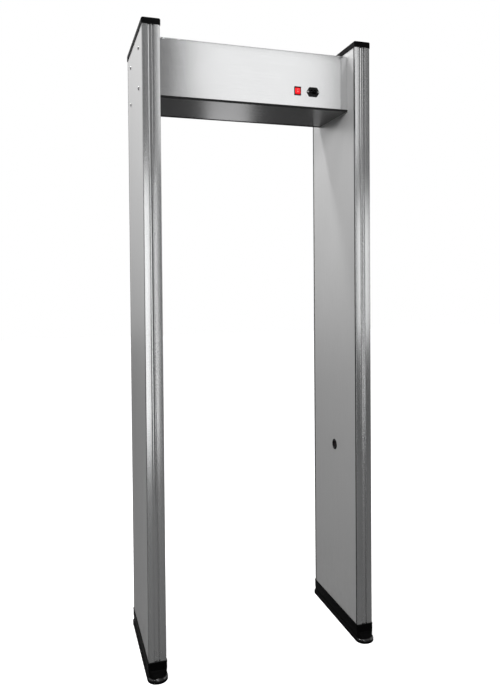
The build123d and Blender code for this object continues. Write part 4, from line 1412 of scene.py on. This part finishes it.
# ---------------------------------------------------------------- control panel
@dataclass
class ControlPanel:
    """What shows on the far side: figures behind the window and raised signs on the keys."""

    finisher: Finisher
    figure_height: float = 25.0 * MM
    figure_width: float = 13.5 * MM
    bar: float = 2.6 * MM
    lean: float = 0.12
    bar_height: float = 0.35 * MM
    figure_pitch: float = 21.0 * MM
    middle_figure: float = -16.0 * MM
    zone_at: float = 36.0 * MM
    zone_pitch: float = 4.3 * MM
    zone_length: float = 15.0 * MM
    zones: int = 8
    lit_zones: int = 2
    sign_edge: float = 0.12 * MM
    sign_half: tuple[float, float] = (3.4 * MM, 2.0 * MM)

    def segment(
        self, place: Place, centre: tuple[float, float], upright: bool, length: float
    ) -> Surface:
        """One six-sided bar of a figure, leaning with the figure.

        Args:
            place: frame on the display's face.
            centre: middle of the bar.
            upright: whether it stands or lies.
            length: tip to tip length.

        Returns:
            Its closed surface.
        """
        half, side = length / 2, self.bar / 2
        below = np.array([(-half, 0), (-half + side, -side), (half - side, -side)])
        lying = np.concatenate([below, -below])
        loop = lying[:, ::-1] if upright else lying
        u = centre[0] + loop[:, 0] + self.lean * (centre[1] + loop[:, 1])
        flat = np.stack([u, centre[1] + loop[:, 1]], axis=-1)
        return lofted(stacked(place, [flat, flat], [0.0, self.bar_height]))

    def display(self) -> None:
        """Three seven-bar figures that read nought, and a column of zone bars beside them."""
        low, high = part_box("display_module")
        place = face_place((low.x + high.x) / 2, high.y, (low.z + high.z) / 2, 1)
        lit, dark = [], []
        across, up = self.figure_width / 2, self.figure_height / 4
        lying, standing = self.figure_width - 1.0 * MM, 2 * up - 0.6 * MM
        for figure in (-1, 0, 1):
            left = figure * self.figure_pitch + self.middle_figure
            for level in (-1, 0, 1):
                group = dark if level == 0 else lit
                group.append(self.segment(place, (left, level * 2 * up), False, lying))
            for side in (-1, 1):
                for level in (-1, 1):
                    spot = (left + side * across, level * up)
                    lit.append(self.segment(place, spot, True, standing))
        for zone in range(self.zones):
            spot = (self.zone_at, (zone - (self.zones - 1) / 2) * self.zone_pitch)
            group = lit if zone < self.lit_zones else dark
            group.append(self.segment(place, spot, False, self.zone_length))
        for name, finish, bars in (("lit", DIGIT_LIT, lit), ("dark", DIGIT_DARK, dark)):
            piece = Piece(f"display_{name}_bars", "display_cells", finish)
            piece.build(Surface.joined(bars), self.finisher)

    def sign_loops(self, name: str) -> list[np.ndarray]:
        """Outlines of the sign on one key.

        Args:
            name: the key's name.

        Returns:
            Loops in the key's own frame.
        """
        wide, tall = self.sign_half
        if name in ("up_button", "down_button"):
            arrow = np.array([(-wide, -tall), (wide, -tall), (0, tall * 1.3)])
            return [arrow if name == "up_button" else -arrow]
        if name == "menu_button":
            bar = rounded_rectangle(wide, 0.45 * MM, 0.4 * MM, 4)
            return [bar + np.array([0, level * 2.2 * MM]) for level in (-1, 0, 1)]
        return [rounded_rectangle(wide * 0.75, wide * 0.75, 1.2 * MM, 6)]

    def keys(self) -> None:
        """Raised signs on the four keys; each rides with its key."""
        heights = [height * MM for height in (-0.2, 0.18, 0.3)]
        for name in ("menu_button", "up_button", "enter_button", "down_button"):
            low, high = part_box(name)
            place = face_place((low.x + high.x) / 2, high.y, (low.z + high.z) / 2, 1)
            parts = [
                lofted(stacked(place, [loop, loop, sunk_loop(loop, self.sign_edge)], heights))
                for loop in self.sign_loops(name)
            ]
            piece = Piece(f"{name}_sign", "button_plastic", MARK_WHITE, name)
            piece.build(Surface.joined(parts), self.finisher)

    def build(self) -> None:
        """Builds the display's figures and the key signs."""
        self.display()
        self.keys()


# ---------------------------------------------------------------- carried-over nodes
@dataclass
class CarriedParts:
    """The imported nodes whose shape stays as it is, and the finish that each takes."""

    finisher: Finisher

    def table(self) -> dict[str, Finish]:
        """Finish of every node that stays.

        Returns:
            The finish by node name.
        """
        finishes: dict[str, Finish] = {
            "cap_screws": SCREW_STEEL,
            "boot_screws": SCREW_STEEL,
            "transmit_coil": COPPER,
            "receive_coils": COPPER,
            "header_bolts": SCREW_STEEL,
            "bolt_sleeves": SCREW_STEEL,
            "header_nuts": SCREW_STEEL,
            "coil_connectors": CONNECTOR,
            "header_far_panel": HEADER_SHEET,
            "header_underside": SHADED_UNDERSIDE,
            "header_top_cover": HEADER_SHEET,
            "top_cover_screws": SCREW_STEEL,
            "rocker_pin": SCREW_STEEL,
            "switch_terminals": BRASS,
            "mains_inlet": INLET_PLASTIC,
            "inlet_pins": DARK_BOLT,
            "inlet_screws": NICKEL,
            "inlet_nuts": SCREW_STEEL,
            "power_supply": BRACKET,
            "main_board": CIRCUIT,
            "board_standoffs": BRASS,
            "board_components": CHIPS,
            "control_bezel": BEZEL_PLASTIC,
            "display_window": WINDOW,
            "display_module": DISPLAY_BACK,
            "status_lamps": LAMP_GREEN,
            "alarm_sounder": BEZEL_PLASTIC,
        }
        for side in SIDES:
            finishes[f"{side}_outer_skin"] = SKIN
            finishes[f"{side}_inner_skin"] = SKIN
            finishes[f"{side}_seal_strips"] = SEAL
            finishes[f"{side}_top_cap"] = CAP_PLASTIC
            finishes[f"{side}_coil_board"] = LAMINATE
            finishes[f"{side}_battens"] = BATTEN
            finishes[f"{side}_end_bracket"] = BRACKET
        for end in ENDS:
            finishes[f"{end}_edge_trim"] = TRIM_PLASTIC
        for key in ("menu", "up", "enter", "down"):
            finishes[f"{key}_button"] = BUTTON_PLASTIC
        return finishes

    def build(self) -> None:
        """Dresses every node that stays."""
        for node, finish in self.table().items():
            self.finisher.dress_node(node, finish)
            LOG.info("%s: %s", node, finish.name)


# ---------------------------------------------------------------- studio
@dataclass(frozen=True)
class SoftBox:
    """A rectangular studio light that shines from one point towards another.

    A box that isn't mirrored lights the pieces but doesn't show in their reflections.
    """

    name: str
    at: tuple[float, float, float]
    towards: tuple[float, float, float]
    size: tuple[float, float]
    radiance: float
    mirrored: bool = True

    def build(self) -> None:
        """Adds the light; its power is its radiance times pi times its area."""
        lamp = bpy.data.lights.new(self.name, "AREA")
        lamp.shape = "RECTANGLE"
        lamp.size, lamp.size_y = self.size
        lamp.energy = self.radiance * math.pi * self.size[0] * self.size[1]
        light = bpy.data.objects.new(self.name, lamp)
        bpy.context.scene.collection.objects.link(light)
        aim = (Vector(self.towards) - Vector(self.at)).to_track_quat("-Z", "Y").to_matrix().to_4x4()
        light.matrix_world = Matrix.Translation(self.at) @ aim
        light.visible_camera = False
        light.visible_glossy = self.mirrored


@dataclass
class Studio:
    """Pale floor, soft lights, graded surroundings and the camera."""

    floor_half: float = 14.0
    floor_pale: float = 0.85
    floor_lift: float = 0.72
    floor_dim: float = 0.13
    sensor: float = 36.0
    lens: float = 33.6984
    shift: tuple[float, float] = (-0.010257, -0.07908)
    camera_at: tuple[float, float, float] = (-0.71698, -2.3685, 1.3293)
    yaw: float = math.radians(17.711)
    pitch: float = math.radians(-1.118)
    roll: float = math.radians(-0.449)

    def lights(self) -> None:
        """Builds the soft boxes.

        The key is high on the far left, near_left lights the near side without a mirror image,
        overhead lifts the tops, and the other near ones and the far strip are what the metal
        reflects.
        """
        boxes = [
            SoftBox("key", (-1.0, 0.88, 3.69), (0.2, 0.0, 1.4), (0.35, 0.35), 98.0),
            SoftBox("near_left", (-1.6, -1.7, 2.5), (0.35, -0.15, 1.9), (0.6, 0.6), 36.0, False),
            SoftBox("overhead", (-0.2, -1.0, 4.0), (-0.2, -0.3, 0.0), (0.5, 0.5), 26.0),
            SoftBox("front_high", (0.995, -3.0, 3.05), (0.995, 0.0, 3.05), (1.31, 1.5), 0.88),
            SoftBox("front_left", (-0.38, -3.0, 1.08), (-0.38, 0.0, 1.08), (0.98, 2.1), 1.25),
            SoftBox("front_right", (1.85, -3.0, 1.42), (1.85, 0.0, 1.42), (1.0, 1.15), 1.0),
            SoftBox("side_right", (3.6, -0.9, 1.1), (0.4, 0.0, 1.1), (2.4, 2.0), 1.25),
            SoftBox("far_strip", (0.48, 2.0, 1.4), (0.1, 0.0, 1.6), (0.3, 1.3), 0.9),
        ]
        for box in boxes:
            box.build()

    def surroundings(self) -> None:
        """White behind the object; what the object reflects is graded from floor to ceiling.

        The grade rises with the direction's height, and is dimmer on the near side.
        """
        world = bpy.data.worlds.new("studio")
        bpy.context.scene.world = world
        tree = Tree(emptied(world))
        direction = tree.add("ShaderNodeTexCoord").outputs["Generated"]
        parts = tree.add("ShaderNodeSeparateXYZ", {0: direction})
        rising = tree.span(parts.outputs["Z"], 0.12, 0.85, start=-0.28, end=0.36)
        side = tree.span(parts.outputs["Y"], 0.14, 1.0, start=-0.4, end=0.5)
        graded, white = (
            tree.add("ShaderNodeBackground", {"Color": WHITE, "Strength": strength}).outputs[0]
            for strength in (tree.times(rising, side), 1.0)
        )
        mix = self.by_ray(tree, graded, white)
        tree.add("ShaderNodeOutputWorld", {"Surface": mix})

    def by_ray(self, tree: Tree, others: Socket, camera: Socket) -> Socket:
        """A shader that camera rays see one way and all other rays another."""
        seen = tree.add("ShaderNodeLightPath").outputs["Is Camera Ray"]
        return tree.add("ShaderNodeMixShader", {0: seen, 1: others, 2: camera}).outputs[0]

    def floor(self) -> None:
        """A pale floor that takes the contact shadows and is dimmer in reflections."""
        half = self.floor_half
        mesh = bpy.data.meshes.new("floor")
        corners = [(-half, -half, 0), (half, -half, 0), (half, half, 0), (-half, half, 0)]
        mesh.from_pydata(corners, [], [(0, 1, 2, 3)])
        floor = bpy.data.objects.new("floor", mesh)
        bpy.context.scene.collection.objects.link(floor)
        material = bpy.data.materials.new("floor")
        tree = Tree(emptied(material))
        pale, dim = (
            tree.add("ShaderNodeBsdfDiffuse", {"Color": shade(WHITE[:3], albedo)}).outputs[0]
            for albedo in (self.floor_pale, self.floor_dim)
        )
        lift = {"Color": WHITE, "Strength": self.floor_lift}
        glow = tree.add("ShaderNodeEmission", lift).outputs[0]
        bright = tree.add("ShaderNodeAddShader", {0: pale, 1: glow}).outputs[0]
        tree.add("ShaderNodeOutputMaterial", {"Surface": self.by_ray(tree, dim, bright)})
        mesh.materials.append(material)

    def camera(self) -> None:
        """Camera on the near side, left of the passage, turned towards the far right."""
        sine, cosine = math.sin(self.yaw), math.cos(self.yaw)
        flat, rise = math.cos(self.pitch), math.sin(self.pitch)
        forward = Vector((sine * flat, cosine * flat, rise))
        level = Vector((cosine, -sine, 0))
        above = level.cross(forward)
        right = level * math.cos(self.roll) + above * math.sin(self.roll)
        upward = above * math.cos(self.roll) - level * math.sin(self.roll)
        lens = bpy.data.cameras.new("camera")
        lens.sensor_width = self.sensor
        lens.lens = self.lens
        lens.shift_x, lens.shift_y = self.shift
        camera = bpy.data.objects.new("camera", lens)
        bpy.context.scene.collection.objects.link(camera)
        turn = Matrix((right, upward, -forward)).transposed().to_4x4()
        camera.matrix_world = Matrix.Translation(self.camera_at) @ turn
        bpy.context.scene.camera = camera

    def build(self) -> None:
        """Builds the studio."""
        self.lights()
        self.surroundings()
        self.floor()
        self.camera()
        bpy.context.scene.view_settings.view_transform = "Standard"


def main() -> None:
    """Builds the sub-assemblies in order."""
    logging.basicConfig(level=logging.INFO, format="%(name)s: %(message)s")
    finisher = Finisher()
    assemblies = [
        CarriedParts(finisher),
        EdgeRails(finisher),
        FootBoots(finisher),
        NearSheet(finisher),
        PowerSwitch(finisher),
        CounterWindows(finisher),
        ControlPanel(finisher),
        Studio(),
    ]
    for assembly in assemblies:
        assembly.build()


if __name__ == "__main__":
    main()
